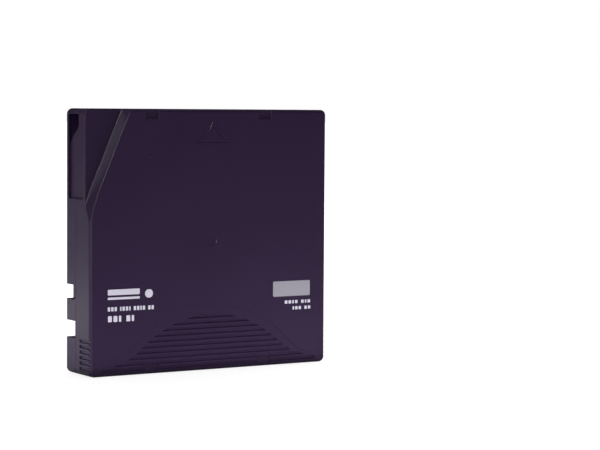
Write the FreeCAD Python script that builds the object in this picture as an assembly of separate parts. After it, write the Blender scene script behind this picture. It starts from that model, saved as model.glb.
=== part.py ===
import FreeCAD
import Part
import math
import os

# Data tape cartridge: one reel of half-inch tape in a two-part moulded case.
#
# Frame, in millimetres. The cartridge stands on its rear edge.
#   X  across the width, positive to the right when the cover faces the viewer
#   Y  through the thickness, positive towards the base, which faces the drive spindle
#   Z  along the length, up from the rear edge to the edge that enters the drive first
# Depths through the thickness are given as heights above the base's outer face.

Vector = FreeCAD.Vector
TOWARDS_COVER = Vector(0, -1, 0)

# ---------------------------------------------------------------- case
CASE_WIDTH = 105.4
CASE_LENGTH = 102.0
PARTING_HEIGHT = 9.15
SIDE_WALL = 1.5
COVER_WALL = 1.7
BASE_WALL = 1.3
CORNER_RADIUS = 2.2
EDGE_RADIUS = 1.4
REAR_EDGE_RADIUS = 3.0
PARTING_REVEAL = 0.12

# corner step over the leader pin: a low floor behind a sloping wall that follows the reel
STEP_MARGIN = 4.4
STEP_SLOPE = 0.393
STEP_ANGLE = 23.6
STEP_FLOOR_WALL = 1.2

# grips on the cover and on both narrow sides
GRIP_PITCH = 2.1
GRIP_GROOVE = 1.2
GRIP_GROOVE_FLOOR = 0.7
GRIP_DEPTH = 0.45
SIDE_GRIP_COUNT = 6
SIDE_GRIP_FIRST = 2.9
SIDE_GRIP_RISE = 3.2
DOME_COUNT = 10
DOME_FIRST = 2.2
DOME_APEX = 21.9
DOME_RADIUS = 45.0
DOME_BORDER = 3.4
DOME_DISH = 0.22
DOME_FOOT = 3.2
DOME_FOOT_INSET = 4.7

# stacking pockets along the front and rear edges of the cover
POCKET_WIDTH = 5.6
POCKET_LENGTH = 3.8
POCKET_DEPTH = 0.9
POCKET_LEFT_INSET = 26.4
POCKET_RIGHT_INSET = 28.8

# insertion arrow and moulding marks on the cover
ARROW_TIP_INSET = 4.4
ARROW_HALF_WIDTH = 7.6
ARROW_LENGTH = 8.6
ARROW_SAG = 0.9
ARROW_LINE = 0.3
ARROW_DEPTH = 0.15
GATE_RADIUS = 2.2
GATE_DEPTH = 0.25
VENT_DOT_INSET_X = 25.1
VENT_DOT_INSET_Z = 18.6
VENT_DOT_RADIUS = 0.45

# gripper notches in the base half, on both narrow sides
NOTCH_WALL = 1.2
UPPER_NOTCH_Z = 31.6
UPPER_NOTCH_LENGTH = 5.6
UPPER_NOTCH_DEPTH = 3.2
UPPER_NOTCH_HEIGHT = 8.15
LOWER_NOTCH_Z = 17.2
LOWER_NOTCH_LENGTH = 6.7
LOWER_NOTCH_DEPTH = 4.7
LOWER_NOTCH_HEIGHT = 8.5

# label recess on the rear edge
LABEL_LEFT_INSET = 28.7
LABEL_RIGHT_INSET = 2.7
LABEL_MARGIN = 3.2
LABEL_DEPTH = 0.3
LABEL_CORNER = 1.2

# ---------------------------------------------------------------- reel
FLANGE_WALL = 0.825
REEL_EDGE_GAP = 0.1
REEL_SIDE_ROOM = 1.7
REEL_WELL_CLEARANCE = 0.9
REEL_WELL_WALL = 1.1
WELL_GAP_START_ANGLE = 138.0
WELL_GAP_END_ANGLE = 200.0
HUB_RADIUS = 22.0
HUB_WALL = 2.2
HUB_WEB = 2.0
HUB_WEB_HEIGHT = 2.2
SPIGOT_SETBACK = 1.15
SPIGOT_HEIGHT = 1.4
TAPE_WIDTH = 12.65
TAPE_SIDE_GAP = 0.2
TAPE_BOTTOM_HEIGHT = 2.725
PACK_INSET = 3.5
REEL_SEAT_STEP = 0.4
REEL_SEAT_INSET = 0.6
REEL_SEAT_WIDTH = 2.6
CHUCK_OPENING_INSET = 0.8
FLANGE_TO_COVER = 3.4

# face gears: drive teeth under the hub, brake teeth inside it
TEETH = 60
TOOTH_TIP_SHARE = 0.2
TOOTH_WIDTH_SHARE = 0.8
DRIVE_GEAR_INSET = 2.0
DRIVE_GEAR_WIDTH = 4.0
DRIVE_TOOTH_HEIGHT = 0.9
DRIVE_GEAR_RIM = 1.2
BRAKE_GEAR_INSET = 0.7
BRAKE_GEAR_WIDTH = 2.5
HUB_TOOTH_HEIGHT = 1.0
HUB_TOOTH_ARC = 54.0
BRAKE_TOOTH_HEIGHT = 1.1
TOOTH_ENGAGEMENT = 0.7

# metal plate under the hub, for the drive's magnet
REEL_PLATE_INSET = 0.6
REEL_PLATE_BORE = 4.0
REEL_PLATE_WALL = 1.1

# release pad and brake
LEG_COUNT = 3
LEG_RADIUS = 1.55
LEG_CLEARANCE = 0.35
LEG_TIP_HEIGHT = 0.75
PAD_WALL = 1.3
PAD_LOBE_RADIUS = 1.7
PAD_WAIST_RADIUS = 7.0
SEAT_GAP = 0.05
BRAKE_RIM = 0.2
BRAKE_WALL = 1.8
BRAKE_TRAVEL = 2.0
SOCKET_RADIUS = 7.4
SOCKET_FLOOR = 1.2
SOCKET_HEADROOM = 1.0
KEY_LENGTH = 10.4
KEY_WALL = 2.4
KEY_CLEARANCE = 0.2
KEY_TIP_CLEARANCE = 0.4
POST_RADIUS = 6.6
POST_HEIGHT = 2.3
BRAKE_SPRING_RADIUS = 9.4
BRAKE_SPRING_WIRE = 0.9
BRAKE_SPRING_TURNS = 4
SPRING_RIM_WALL = 1.0
SPRING_RIM_DEPTH = 1.5

# ---------------------------------------------------------------- leader pin
PIN_INSET_X = 5.9
PIN_INSET_Z = 12.0
PIN_RADIUS = 1.1
PIN_DISC_RADIUS = 2.6
PIN_DISC_WALL = 0.6
PIN_END_PLAY = 0.075
CLIP_WALL = 0.55
CLIP_MOUTH = 1.5
CRADLE_WALL = 0.65
CRADLE_LIP = 0.55
CRADLE_GAP = 0.15
PIN_SPRING_WIRE = 0.6
PIN_SPRING_BACK_REACH = 4.4
PIN_SPRING_TIP_REACH = 2.6
PIN_SPRING_HOOK = 0.9
PIN_SPRING_BEND = 0.8
PIN_SPRING_POST = 1.6
LEAD_WALL = 0.12
LEAD_CLEARANCE = 0.3

# ---------------------------------------------------------------- door
DOOR_LIP = 0.7
DOOR_WALL = 1.2
DOOR_GAP = 0.15
DOOR_EDGE_GAP = 0.2
DOOR_CHANNEL_RELIEF = 0.25
DOOR_REAR_INSET = 35.5
DOOR_OVERLAP = 1.0
DOOR_TRAVEL = 21.5
WINDOW_LOW_RIM = 1.0
WINDOW_HIGH_RIM = 0.75
WINDOW_FRONT_WALL = 2.1
WINDOW_CORNER = 0.8
DOOR_CUT_RISE = 0.6
DOOR_CUT_REAR_INSET = 6.9
DOOR_CUT_FOOT_INSET = 13.9
DOOR_CUT_RADIUS = 1.0
TAIL_WIDTH = 2.6
TAIL_LENGTH = 19.6
LUG_LENGTH = 1.7
LUG_FLANGE_GAP = 0.5
LUG_COVER_GAP = 0.4
LUG_REACH = 4.7
GUIDE_WALL = 0.8
GUIDE_GAP = 0.15
GUIDE_DEPTH = 0.65
GUIDE_PIN_GAP = 6.0
OPENER_SLOT_WIDTH = 4.8
OPENER_SLOT_DROP = 0.25
DOOR_SPRING_WIRE = 0.34
DOOR_SPRING_TURNS = 15
DOOR_SPRING_INSET = 3.15
DOOR_SPRING_REAR_Z = 11.0
SPRING_RAIL_WALL = 0.6
SPRING_RAIL_CLEARANCE = 0.45
SPRING_STOP_WALL = 1.0

# ---------------------------------------------------------------- write-protect tab
TAB_WINDOW_INSET = 12.2
TAB_WINDOW_WIDTH = 9.5
TAB_BUTTON_WIDTH = 5.1
TAB_BUTTON_HEIGHT = 5.6
TAB_PARTING_RISE = 0.25
TAB_GAP = 0.1
TAB_FLANGE = 1.2
TAB_WALL = 1.4
TAB_RECESS = 0.35
TAB_GRIP_DEPTH = 0.3
TAB_RAIL_WALL = 0.8
TAB_RAIL_LIP = 1.4
TAB_RAIL_OVERRUN = 1.4

# ---------------------------------------------------------------- cartridge memory
MEMORY_FLANGE_GAP = 6.8
MEMORY_ANGLE = -45.0
MEMORY_LENGTH = 12.0
MEMORY_HEIGHT = 10.0
MEMORY_WALL = 0.6
MEMORY_CHIP = 3.2
MEMORY_CHIP_WALL = 0.7
MEMORY_SLOT_GAP = 0.05
MEMORY_SLOT_WALL = 0.8
MEMORY_SLOT_GRIP = 1.5
MEMORY_SLOT_HEIGHT = 6.0

# ---------------------------------------------------------------- case screws
SCREW_INSET_X = 6.2
SCREW_INSET_Z = 7.0
FRONT_LEFT_SCREW_INSET_X = 21.2
FRONT_LEFT_SCREW_INSET_Z = 4.7
SCREW_HEAD_RADIUS = 2.1
SCREW_HEAD_WALL = 1.2
SCREW_RADIUS = 1.1
SCREW_LENGTH = 11.5
SCREW_SINK = 0.5
SCREW_HOLE_CLEARANCE = 0.2
SCREW_PILOT_CLEARANCE = 0.04
SCREW_BOSS_WALL = 1.5
SCREW_SLOT_WIDTH = 0.6
SCREW_SLOT_DEPTH = 0.6
SCREW_SLOT_LENGTH = 2.6

# location holes in the base, round and slotted
LOCATION_RADIUS = 2.2
LOCATION_DEPTH = 3.6
LOCATION_BOSS_WALL = 1.0
LOCATION_INSET_X = 15.2
LOCATION_INSET_Z = 7.4
LOCATION_SLOT_EXTRA = 1.6

# length by which a cutting tool runs past the body, so that no skin is left
BEYOND = 2.0
# depth by which an inner rib is sunk into its wall, so that the two are one body
ROOT = 0.6

# ---------------------------------------------------------------- reel, worked out from the case
REEL_Z = CASE_LENGTH / 2
WELL_RADIUS = min(CASE_LENGTH / 2, CASE_WIDTH / 2 - REEL_SIDE_ROOM) - SIDE_WALL - REEL_EDGE_GAP
FLANGE_RADIUS = WELL_RADIUS - REEL_WELL_CLEARANCE
PACK_RADIUS = FLANGE_RADIUS - PACK_INSET
HUB_BORE = HUB_RADIUS - HUB_WALL
SPIGOT_RADIUS = HUB_RADIUS - SPIGOT_SETBACK
REEL_SEAT_OUTER = HUB_RADIUS - REEL_SEAT_INSET
REEL_SEAT_INNER = REEL_SEAT_OUTER - REEL_SEAT_WIDTH
CHUCK_OPENING_RADIUS = REEL_SEAT_INNER - CHUCK_OPENING_INSET
DRIVE_GEAR_OUTER = CHUCK_OPENING_RADIUS - DRIVE_GEAR_INSET
DRIVE_GEAR_INNER = DRIVE_GEAR_OUTER - DRIVE_GEAR_WIDTH
REEL_PLATE_RADIUS = DRIVE_GEAR_INNER - REEL_PLATE_INSET
LEG_CIRCLE = (DRIVE_GEAR_INNER + DRIVE_GEAR_OUTER) / 2
BRAKE_GEAR_OUTER = HUB_BORE - BRAKE_GEAR_INSET
BRAKE_GEAR_INNER = BRAKE_GEAR_OUTER - BRAKE_GEAR_WIDTH
BRAKE_RADIUS = BRAKE_GEAR_OUTER + BRAKE_RIM

# ---------------------------------------------------------------- heights above the base's outer face
TAPE_TOP_HEIGHT = TAPE_BOTTOM_HEIGHT + TAPE_WIDTH
LOWER_FLANGE_TOP = TAPE_BOTTOM_HEIGHT - TAPE_SIDE_GAP
LOWER_FLANGE_BOTTOM = LOWER_FLANGE_TOP - FLANGE_WALL
UPPER_FLANGE_BOTTOM = TAPE_TOP_HEIGHT + TAPE_SIDE_GAP
UPPER_FLANGE_TOP = UPPER_FLANGE_BOTTOM + FLANGE_WALL
COVER_CEILING = UPPER_FLANGE_TOP + FLANGE_TO_COVER
CASE_THICKNESS = COVER_CEILING + COVER_WALL
COVER_CORE = COVER_CEILING + COVER_WALL / 2
BASE_CORE = BASE_WALL / 2
PIN_CENTRE_HEIGHT = TAPE_BOTTOM_HEIGHT + TAPE_WIDTH / 2
PIN_HALF_GRIP = TAPE_WIDTH / 2 + PIN_END_PLAY
PIN_BOTTOM = PIN_CENTRE_HEIGHT - PIN_HALF_GRIP - PIN_DISC_WALL
PIN_TOP = PIN_CENTRE_HEIGHT + PIN_HALF_GRIP + PIN_DISC_WALL
STEP_CEILING = PIN_TOP + SEAT_GAP
STEP_FLOOR = STEP_CEILING + STEP_FLOOR_WALL
HUB_WEB_TOP = HUB_WEB_HEIGHT + HUB_WEB
HUB_TOOTH_TIP = HUB_WEB_TOP + HUB_TOOTH_HEIGHT
BRAKE_TOOTH_TIP = HUB_TOOTH_TIP - TOOTH_ENGAGEMENT
BRAKE_BOTTOM = BRAKE_TOOTH_TIP + BRAKE_TOOTH_HEIGHT
BRAKE_TOP = BRAKE_BOTTOM + BRAKE_WALL
POST_TIP = COVER_CEILING - POST_HEIGHT
SOCKET_TOP = POST_TIP - BRAKE_TRAVEL - SOCKET_HEADROOM
SOCKET_FLOOR_HEIGHT = BRAKE_TOP + SOCKET_FLOOR
KEY_TIP_HEIGHT = SOCKET_FLOOR_HEIGHT + BRAKE_TRAVEL + KEY_TIP_CLEARANCE
PAD_BOTTOM = HUB_WEB_TOP + SEAT_GAP
PAD_TOP = PAD_BOTTOM + PAD_WALL
DOOR_LOW = BASE_WALL + DOOR_EDGE_GAP
DOOR_HIGH = STEP_CEILING - DOOR_EDGE_GAP
DOOR_CUT_HEIGHT = PARTING_HEIGHT + DOOR_CUT_RISE
WINDOW_LOW = BASE_WALL + WINDOW_LOW_RIM
WINDOW_HIGH = STEP_CEILING - WINDOW_HIGH_RIM
OPENER_SLOT_HIGH = PARTING_HEIGHT - OPENER_SLOT_DROP
TAIL_LOW = DOOR_HIGH - TAIL_WIDTH
LUG_LOW = UPPER_FLANGE_TOP + LUG_FLANGE_GAP
LUG_HIGH = COVER_CEILING - LUG_COVER_GAP
DOOR_SPRING_HEIGHT = (LUG_LOW + LUG_HIGH) / 2
DOOR_SPRING_RADIUS = (LUG_HIGH - LUG_LOW - DOOR_SPRING_WIRE) / 2 - SEAT_GAP
SIDE_GRIP_BOTTOM_HEIGHT = PARTING_HEIGHT + SIDE_GRIP_RISE
TAB_CENTRE_HEIGHT = PARTING_HEIGHT + TAB_PARTING_RISE
SCREW_HEAD_TOP = SCREW_SINK + SCREW_HEAD_WALL

# ---------------------------------------------------------------- places in plan
LEFT = -CASE_WIDTH / 2
RIGHT = CASE_WIDTH / 2
STEP_RADIUS = FLANGE_RADIUS + STEP_MARGIN
ARROW_TIP_Z = CASE_LENGTH - ARROW_TIP_INSET
MEMORY_CIRCLE = FLANGE_RADIUS + MEMORY_FLANGE_GAP
PIN_X = LEFT + PIN_INSET_X
PIN_Z = CASE_LENGTH - PIN_INSET_Z
PIN_SPRING_BACK_X = PIN_X + PIN_SPRING_BACK_REACH
PIN_SPRING_TIP_X = PIN_X - PIN_SPRING_TIP_REACH
CAVITY_FRONT_Z = CASE_LENGTH - SIDE_WALL
WINDOW_FRONT_Z = CASE_LENGTH - WINDOW_FRONT_WALL
DOOR_OUTER_X = LEFT + DOOR_LIP + DOOR_GAP
DOOR_INNER_X = DOOR_OUTER_X + DOOR_WALL
DOOR_FRONT_Z = WINDOW_FRONT_Z + DOOR_EDGE_GAP
DOOR_REAR_Z = CASE_LENGTH - DOOR_REAR_INSET
DOOR_CUT_REAR = CASE_LENGTH - DOOR_CUT_REAR_INSET
DOOR_CUT_FOOT = CASE_LENGTH - DOOR_CUT_FOOT_INSET
TAIL_END_Z = DOOR_REAR_Z - TAIL_LENGTH
LUG_INNER_X = LEFT + LUG_REACH
GUIDE_X = DOOR_INNER_X + GUIDE_GAP
GUIDE_END_Z = PIN_Z - GUIDE_PIN_GAP
DOOR_SPRING_X = LEFT + DOOR_SPRING_INSET
TAB_WINDOW_X = LEFT + TAB_WINDOW_INSET
SCREW_BOSS_RADIUS = SCREW_RADIUS + SCREW_BOSS_WALL


# ---------------------------------------------------------------- helpers
def at(x, height, z):
    """Point in the part's frame, with the thickness given as a height above the base."""
    return Vector(x, CASE_THICKNESS / 2 - height, z)


def rounded_path(points, radii, closed):
    """Straight runs through the points, joined by tangent arcs of the given radii."""
    count = len(points)
    starts = list(points)
    ends = list(points)
    arcs = [None] * count
    for index, radius in enumerate(radii):
        if radius <= 0 or (not closed and index in (0, count - 1)):
            continue
        corner = points[index]
        back = (points[index - 1] - corner).normalize()
        ahead = (points[(index + 1) % count] - corner).normalize()
        half_angle = back.getAngle(ahead) / 2
        reach = radius / math.tan(half_angle)
        starts[index] = corner + back * reach
        ends[index] = corner + ahead * reach
        bisector = (back + ahead).normalize()
        middle = corner + bisector * (radius / math.sin(half_angle) - radius)
        arcs[index] = Part.Arc(starts[index], middle, ends[index]).toShape()
    edges = []
    for index in range(count):
        if arcs[index] is not None:
            edges.append(arcs[index])
        if index == count - 1 and not closed:
            continue
        edges.append(Part.LineSegment(ends[index], starts[(index + 1) % count]).toShape())
    return Part.Wire(edges)


def prism(corners, low, high):
    """Plan outline of (x, z, corner radius) extruded from one height to another."""
    points = [at(x, low, z) for x, z, _ in corners]
    wire = rounded_path(points, [radius for _, _, radius in corners], True)
    return Part.Face(wire).extrude(TOWARDS_COVER * (high - low))


def rectangle(x_low, x_high, z_low, z_high, radius=0.0):
    """Corners of an upright rectangle in plan."""
    return [(x_low, z_low, radius), (x_high, z_low, radius),
            (x_high, z_high, radius), (x_low, z_high, radius)]


def block(x_low, x_high, low, high, z_low, z_high):
    """Box between two values on each axis, in any order."""
    x_low, x_high = sorted((x_low, x_high))
    corner = at(x_low, high, z_low)
    return Part.makeBox(x_high - x_low, high - low, z_high - z_low, corner)


def disc(radius, low, high, x=0.0, z=REEL_Z):
    """Cylinder through the thickness."""
    return Part.makeCylinder(radius, high - low, at(x, low, z), TOWARDS_COVER)


def ring(inner, outer, low, high, x=0.0, z=REEL_Z):
    """Tube through the thickness."""
    return disc(outer, low, high, x, z).cut(disc(inner, low - BEYOND, high + BEYOND, x, z))


def sector(start, end, reach, low, high, x=0.0, z=REEL_Z):
    """Wedge between two angles, counted from +X towards +Z."""
    corners = [(x, z, 0.0)]
    steps = 6
    for step in range(steps + 1):
        angle = math.radians(start + (end - start) * step / steps)
        corners.append((x + reach * math.cos(angle), z + reach * math.sin(angle), 0.0))
    return prism(corners, low, high)


def turned(shape, degrees, x=0.0, z=REEL_Z):
    """Copy of a shape turned about the reel's axis or one parallel to it, from +X towards +Z."""
    copy = shape.copy()
    copy.rotate(at(x, 0, z), TOWARDS_COVER, degrees)
    return copy


def mirrored(shape):
    """Copy of a shape on the other side of the width's middle."""
    return shape.mirror(Vector(0, 0, 0), Vector(1, 0, 0))


def level_edges(shape, height):
    """Edges of a shape that lie at one height."""
    level = CASE_THICKNESS / 2 - height
    return [edge for edge in shape.Edges
            if all(abs(vertex.Y - level) < 1e-6 for vertex in edge.Vertexes)]


def tube_along(wire, radius):
    """Round wire swept along a path."""
    start = wire.Edges[0].firstVertex().Point
    first = wire.Edges[0]
    direction = first.tangentAt(first.FirstParameter)
    section = Part.Wire(Part.makeCircle(radius, start, direction))
    return wire.makePipeShell([section], True, True)


def coil(radius, wire_radius, turns, length):
    """Compression spring along +Z from the origin; its square-section wire stays inside the length."""
    pitch = (length - 2 * wire_radius) / turns
    path = Part.makeHelix(pitch, pitch * turns, radius)
    corners = [Vector(radius - wire_radius, 0, -wire_radius), Vector(radius + wire_radius, 0, -wire_radius),
               Vector(radius + wire_radius, 0, wire_radius), Vector(radius - wire_radius, 0, wire_radius)]
    section = Part.makePolygon(corners + corners[:1])
    spring = Part.Wire(path.Edges).makePipeShell([section], True, True)
    spring.translate(Vector(0, 0, wire_radius))
    return spring


# ---------------------------------------------------------------- places worked out from the sizes
def screw_places():
    """Centres of the four case screws in plan; the front left one clears the leader pin."""
    return [(LEFT + SCREW_INSET_X, SCREW_INSET_Z),
            (RIGHT - SCREW_INSET_X, SCREW_INSET_Z),
            (RIGHT - SCREW_INSET_X, CASE_LENGTH - SCREW_INSET_Z),
            (LEFT + FRONT_LEFT_SCREW_INSET_X, CASE_LENGTH - FRONT_LEFT_SCREW_INSET_Z)]


def step_outline(height, inward):
    """Closed wire round the stepped corner at one height, grown towards the reel."""
    radius = STEP_RADIUS + (CASE_THICKNESS - height) * STEP_SLOPE - inward
    angle = math.radians(STEP_ANGLE)
    start = at(-radius, height, REEL_Z)
    middle = at(-radius * math.cos(angle / 2), height, REEL_Z + radius * math.sin(angle / 2))
    tangent = at(-radius * math.cos(angle), height, REEL_Z + radius * math.sin(angle))
    front_z = CASE_LENGTH + BEYOND
    run = (front_z - tangent.z) * math.tan(angle)
    front = at(tangent.x + run, height, front_z)
    outer_x = LEFT - 3 * BEYOND
    edges = [Part.Arc(start, middle, tangent).toShape(),
             Part.LineSegment(tangent, front).toShape(),
             Part.LineSegment(front, at(outer_x, height, front_z)).toShape(),
             Part.LineSegment(at(outer_x, height, front_z), at(outer_x, height, REEL_Z)).toShape(),
             Part.LineSegment(at(outer_x, height, REEL_Z), start).toShape()]
    return Part.Wire(edges)


def step_block(floor, inward):
    """Space above the stepped corner, with its sloping wall, from a floor height upwards."""
    wires = [step_outline(floor, inward), step_outline(CASE_THICKNESS + BEYOND, inward)]
    return Part.makeLoft(wires, True, True)


def dome_outline(border):
    """Bell-shaped plan of the cover's grip: a crown arc with a flare tangent to it on each side."""
    crown_z = DOME_APEX - DOME_RADIUS
    foot_x = CASE_WIDTH / 2 - DOME_FOOT_INSET
    rise = DOME_FOOT - crown_z
    flare = (foot_x ** 2 + rise ** 2 - DOME_RADIUS ** 2) / (2 * (DOME_RADIUS - rise)) - border
    crown = DOME_RADIUS + border
    flare_z = DOME_FOOT + flare
    flare_x = math.sqrt((crown + flare) ** 2 - (flare_z - crown_z) ** 2)
    towards_crown = math.atan2(crown_z - flare_z, -flare_x)
    middle_angle = (towards_crown - math.pi / 2) / 2
    height = CASE_THICKNESS + BEYOND

    def point(x, z, side):
        return at(side * x, height, z)

    def ends(side):
        joint = point(flare_x * crown / (crown + flare),
                      crown_z + (flare_z - crown_z) * crown / (crown + flare), side)
        middle = point(flare_x + flare * math.cos(middle_angle), flare_z + flare * math.sin(middle_angle), side)
        foot = point(flare_x, DOME_FOOT, side)
        return joint, middle, foot, point(flare_x, -BEYOND, side)

    joint, middle, foot, low = ends(1)
    far_joint, far_middle, far_foot, far_low = ends(-1)
    edges = [Part.LineSegment(far_low, far_foot).toShape(),
             Part.Arc(far_foot, far_middle, far_joint).toShape(),
             Part.Arc(far_joint, at(0, height, DOME_APEX + border), joint).toShape(),
             Part.Arc(joint, middle, foot).toShape(),
             Part.LineSegment(foot, low).toShape(),
             Part.LineSegment(low, far_low).toShape()]
    return Part.Wire(edges)


def dome_block(border, depth):
    """Bell-shaped tool that cuts the cover to a depth."""
    return Part.Face(dome_outline(border)).extrude(TOWARDS_COVER * -(BEYOND + depth))


# ---------------------------------------------------------------- case halves
def case_outline(inset):
    """Plan outline of the case, moved in by an inset."""
    radius = max(CORNER_RADIUS - inset, 0.5)
    return rectangle(LEFT + inset, RIGHT - inset, inset, CASE_LENGTH - inset, radius)


def well_wall(low, high):
    """Round wall of the reel's well, open where the tape leaves."""
    wall = ring(WELL_RADIUS, WELL_RADIUS + REEL_WELL_WALL, low, high)
    gap = sector(WELL_GAP_START_ANGLE, WELL_GAP_END_ANGLE, 2 * WELL_RADIUS, low - BEYOND, high + BEYOND)
    return wall.cut(gap)


def parting_groove(low, high):
    """Thin band that sets the halves back where they meet."""
    band = prism(case_outline(-BEYOND), low, high)
    return band.cut(prism(case_outline(PARTING_REVEAL), low - BEYOND, high + BEYOND))


def window_block():
    """Opening in the left side through which the leader pin leaves."""
    opening = block(LEFT - BEYOND, LEFT + SIDE_WALL, WINDOW_LOW, WINDOW_HIGH,
                    DOOR_REAR_Z + DOOR_OVERLAP, WINDOW_FRONT_Z)
    upright = [edge for edge in opening.Edges
               if abs(edge.tangentAt(edge.FirstParameter).x) > 0.9]
    return opening.makeFillet(WINDOW_CORNER, upright)


def door_channel():
    """Thinned side wall in which the door and its tail slide."""
    outer_x = LEFT + DOOR_LIP
    inner_x = LEFT + SIDE_WALL + DOOR_CHANNEL_RELIEF
    plate_rear = DOOR_REAR_Z - DOOR_TRAVEL - DOOR_OVERLAP
    tail_rear = TAIL_END_Z - DOOR_TRAVEL - DOOR_OVERLAP
    plate = block(outer_x, inner_x, BASE_WALL, STEP_CEILING, plate_rear, CAVITY_FRONT_Z)
    tail = block(outer_x, inner_x, TAIL_LOW - DOOR_EDGE_GAP, COVER_CEILING, tail_rear,
                 TAIL_END_Z + LUG_LENGTH + DOOR_OVERLAP)
    return plate.fuse(tail)


def label_recess():
    """Shallow field for a label on the rear edge."""
    field = block(LEFT + LABEL_LEFT_INSET, RIGHT - LABEL_RIGHT_INSET, LABEL_MARGIN,
                  CASE_THICKNESS - LABEL_MARGIN, -BEYOND, LABEL_DEPTH)
    upright = [edge for edge in field.Edges
               if abs(edge.tangentAt(edge.FirstParameter).z) > 0.9]
    return field.makeFillet(LABEL_CORNER, upright)


def tab_window():
    """Opening in the rear edge that shows the write-protect tab."""
    half = TAB_BUTTON_HEIGHT / 2 + TAB_GAP
    return block(TAB_WINDOW_X, TAB_WINDOW_X + TAB_WINDOW_WIDTH, TAB_CENTRE_HEIGHT - half,
                 TAB_CENTRE_HEIGHT + half, -BEYOND, SIDE_WALL + TAB_GAP)


def tab_rails(inner_level, sign):
    """Rest and back lip that hold the tab in one case half; sign is +1 for the base, -1 for the cover."""
    half = TAB_BUTTON_HEIGHT / 2 + TAB_FLANGE + TAB_GAP
    rest_level = TAB_CENTRE_HEIGHT - sign * half
    lip_level = rest_level + sign * TAB_RAIL_LIP
    x_low = TAB_WINDOW_X - TAB_FLANGE - TAB_RAIL_OVERRUN
    x_high = TAB_WINDOW_X + TAB_WINDOW_WIDTH + TAB_FLANGE + TAB_RAIL_OVERRUN
    back_z = SIDE_WALL + TAB_GAP + TAB_WALL + TAB_GAP
    rest = block(x_low, x_high, min(inner_level, rest_level), max(inner_level, rest_level),
                 SIDE_WALL - TAB_GAP, back_z + TAB_RAIL_WALL)
    lip = block(x_low, x_high, min(rest_level, lip_level), max(rest_level, lip_level),
                back_z, back_z + TAB_RAIL_WALL)
    return [rest, lip]


def cradle(floor, lip, sign):
    """Pad and half-round lip that hold one end of the leader pin; sign is +1 on the base."""
    seat_radius = PIN_DISC_RADIUS + CRADLE_GAP
    pad_radius = seat_radius + CRADLE_WALL
    face = (PIN_BOTTOM if sign > 0 else PIN_TOP) - sign * SEAT_GAP
    rim_level = face + sign * lip
    low, high = sorted((floor, face))
    pad = disc(pad_radius, low, high, PIN_X, PIN_Z)
    low, high = sorted((floor, rim_level))
    rim = ring(seat_radius, pad_radius, low, high, PIN_X, PIN_Z)
    keep = block(PIN_X + PIN_DISC_RADIUS / 2, PIN_X + 2 * pad_radius, low - BEYOND, high + BEYOND,
                 PIN_Z - 2 * pad_radius, PIN_Z + PIN_DISC_RADIUS)
    return [pad, rim.common(keep)]


def door_guides(low, high, z_low, z_high):
    """Rib behind the door, at one of its long edges."""
    return block(GUIDE_X, GUIDE_X + GUIDE_WALL, low, high, z_low, z_high)


def grip_bar(z, x_half):
    """Groove across the cover with sloping flanks."""
    top = CASE_THICKNESS + BEYOND
    floor = CASE_THICKNESS - DOME_DISH - GRIP_DEPTH
    mouth_half = GRIP_GROOVE / 2
    floor_half = GRIP_GROOVE_FLOOR / 2
    mouth = CASE_THICKNESS - DOME_DISH
    points = [at(-x_half, top, z - mouth_half), at(-x_half, mouth, z - mouth_half),
              at(-x_half, floor, z - floor_half), at(-x_half, floor, z + floor_half),
              at(-x_half, mouth, z + mouth_half), at(-x_half, top, z + mouth_half)]
    face = Part.Face(Part.makePolygon(points + points[:1]))
    return face.extrude(Vector(2 * x_half, 0, 0))


def dome_grooves():
    """All the cover's grip grooves, their ends cut to the bell shape."""
    bars = [grip_bar(DOME_FIRST + GRIP_PITCH * index, RIGHT) for index in range(DOME_COUNT)]
    bell = dome_block(0.0, DOME_DISH + GRIP_DEPTH + BEYOND)
    return bell.common(Part.makeCompound(bars))


def side_grooves():
    """Grip grooves in the left narrow side, running out over the cover's edge."""
    tools = []
    for index in range(SIDE_GRIP_COUNT):
        z = SIDE_GRIP_FIRST + GRIP_PITCH * index
        corners = [(LEFT - BEYOND, z - GRIP_GROOVE / 2, 0), (LEFT, z - GRIP_GROOVE / 2, 0),
                   (LEFT + GRIP_DEPTH, z - GRIP_GROOVE_FLOOR / 2, 0),
                   (LEFT + GRIP_DEPTH, z + GRIP_GROOVE_FLOOR / 2, 0),
                   (LEFT, z + GRIP_GROOVE / 2, 0), (LEFT - BEYOND, z + GRIP_GROOVE / 2, 0)]
        tools.append(prism(corners, SIDE_GRIP_BOTTOM_HEIGHT, CASE_THICKNESS + BEYOND))
    return tools


def stacking_pockets():
    """Four shallow pockets, open to the front and rear edges of the cover."""
    tools = []
    for x in (LEFT + POCKET_LEFT_INSET, RIGHT - POCKET_RIGHT_INSET):
        for z_low, z_high in ((-BEYOND, POCKET_LENGTH), (CASE_LENGTH - POCKET_LENGTH, CASE_LENGTH + BEYOND)):
            tools.append(block(x - POCKET_WIDTH / 2, x + POCKET_WIDTH / 2, CASE_THICKNESS - POCKET_DEPTH,
                               CASE_THICKNESS + BEYOND, z_low, z_high))
    return tools


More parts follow.
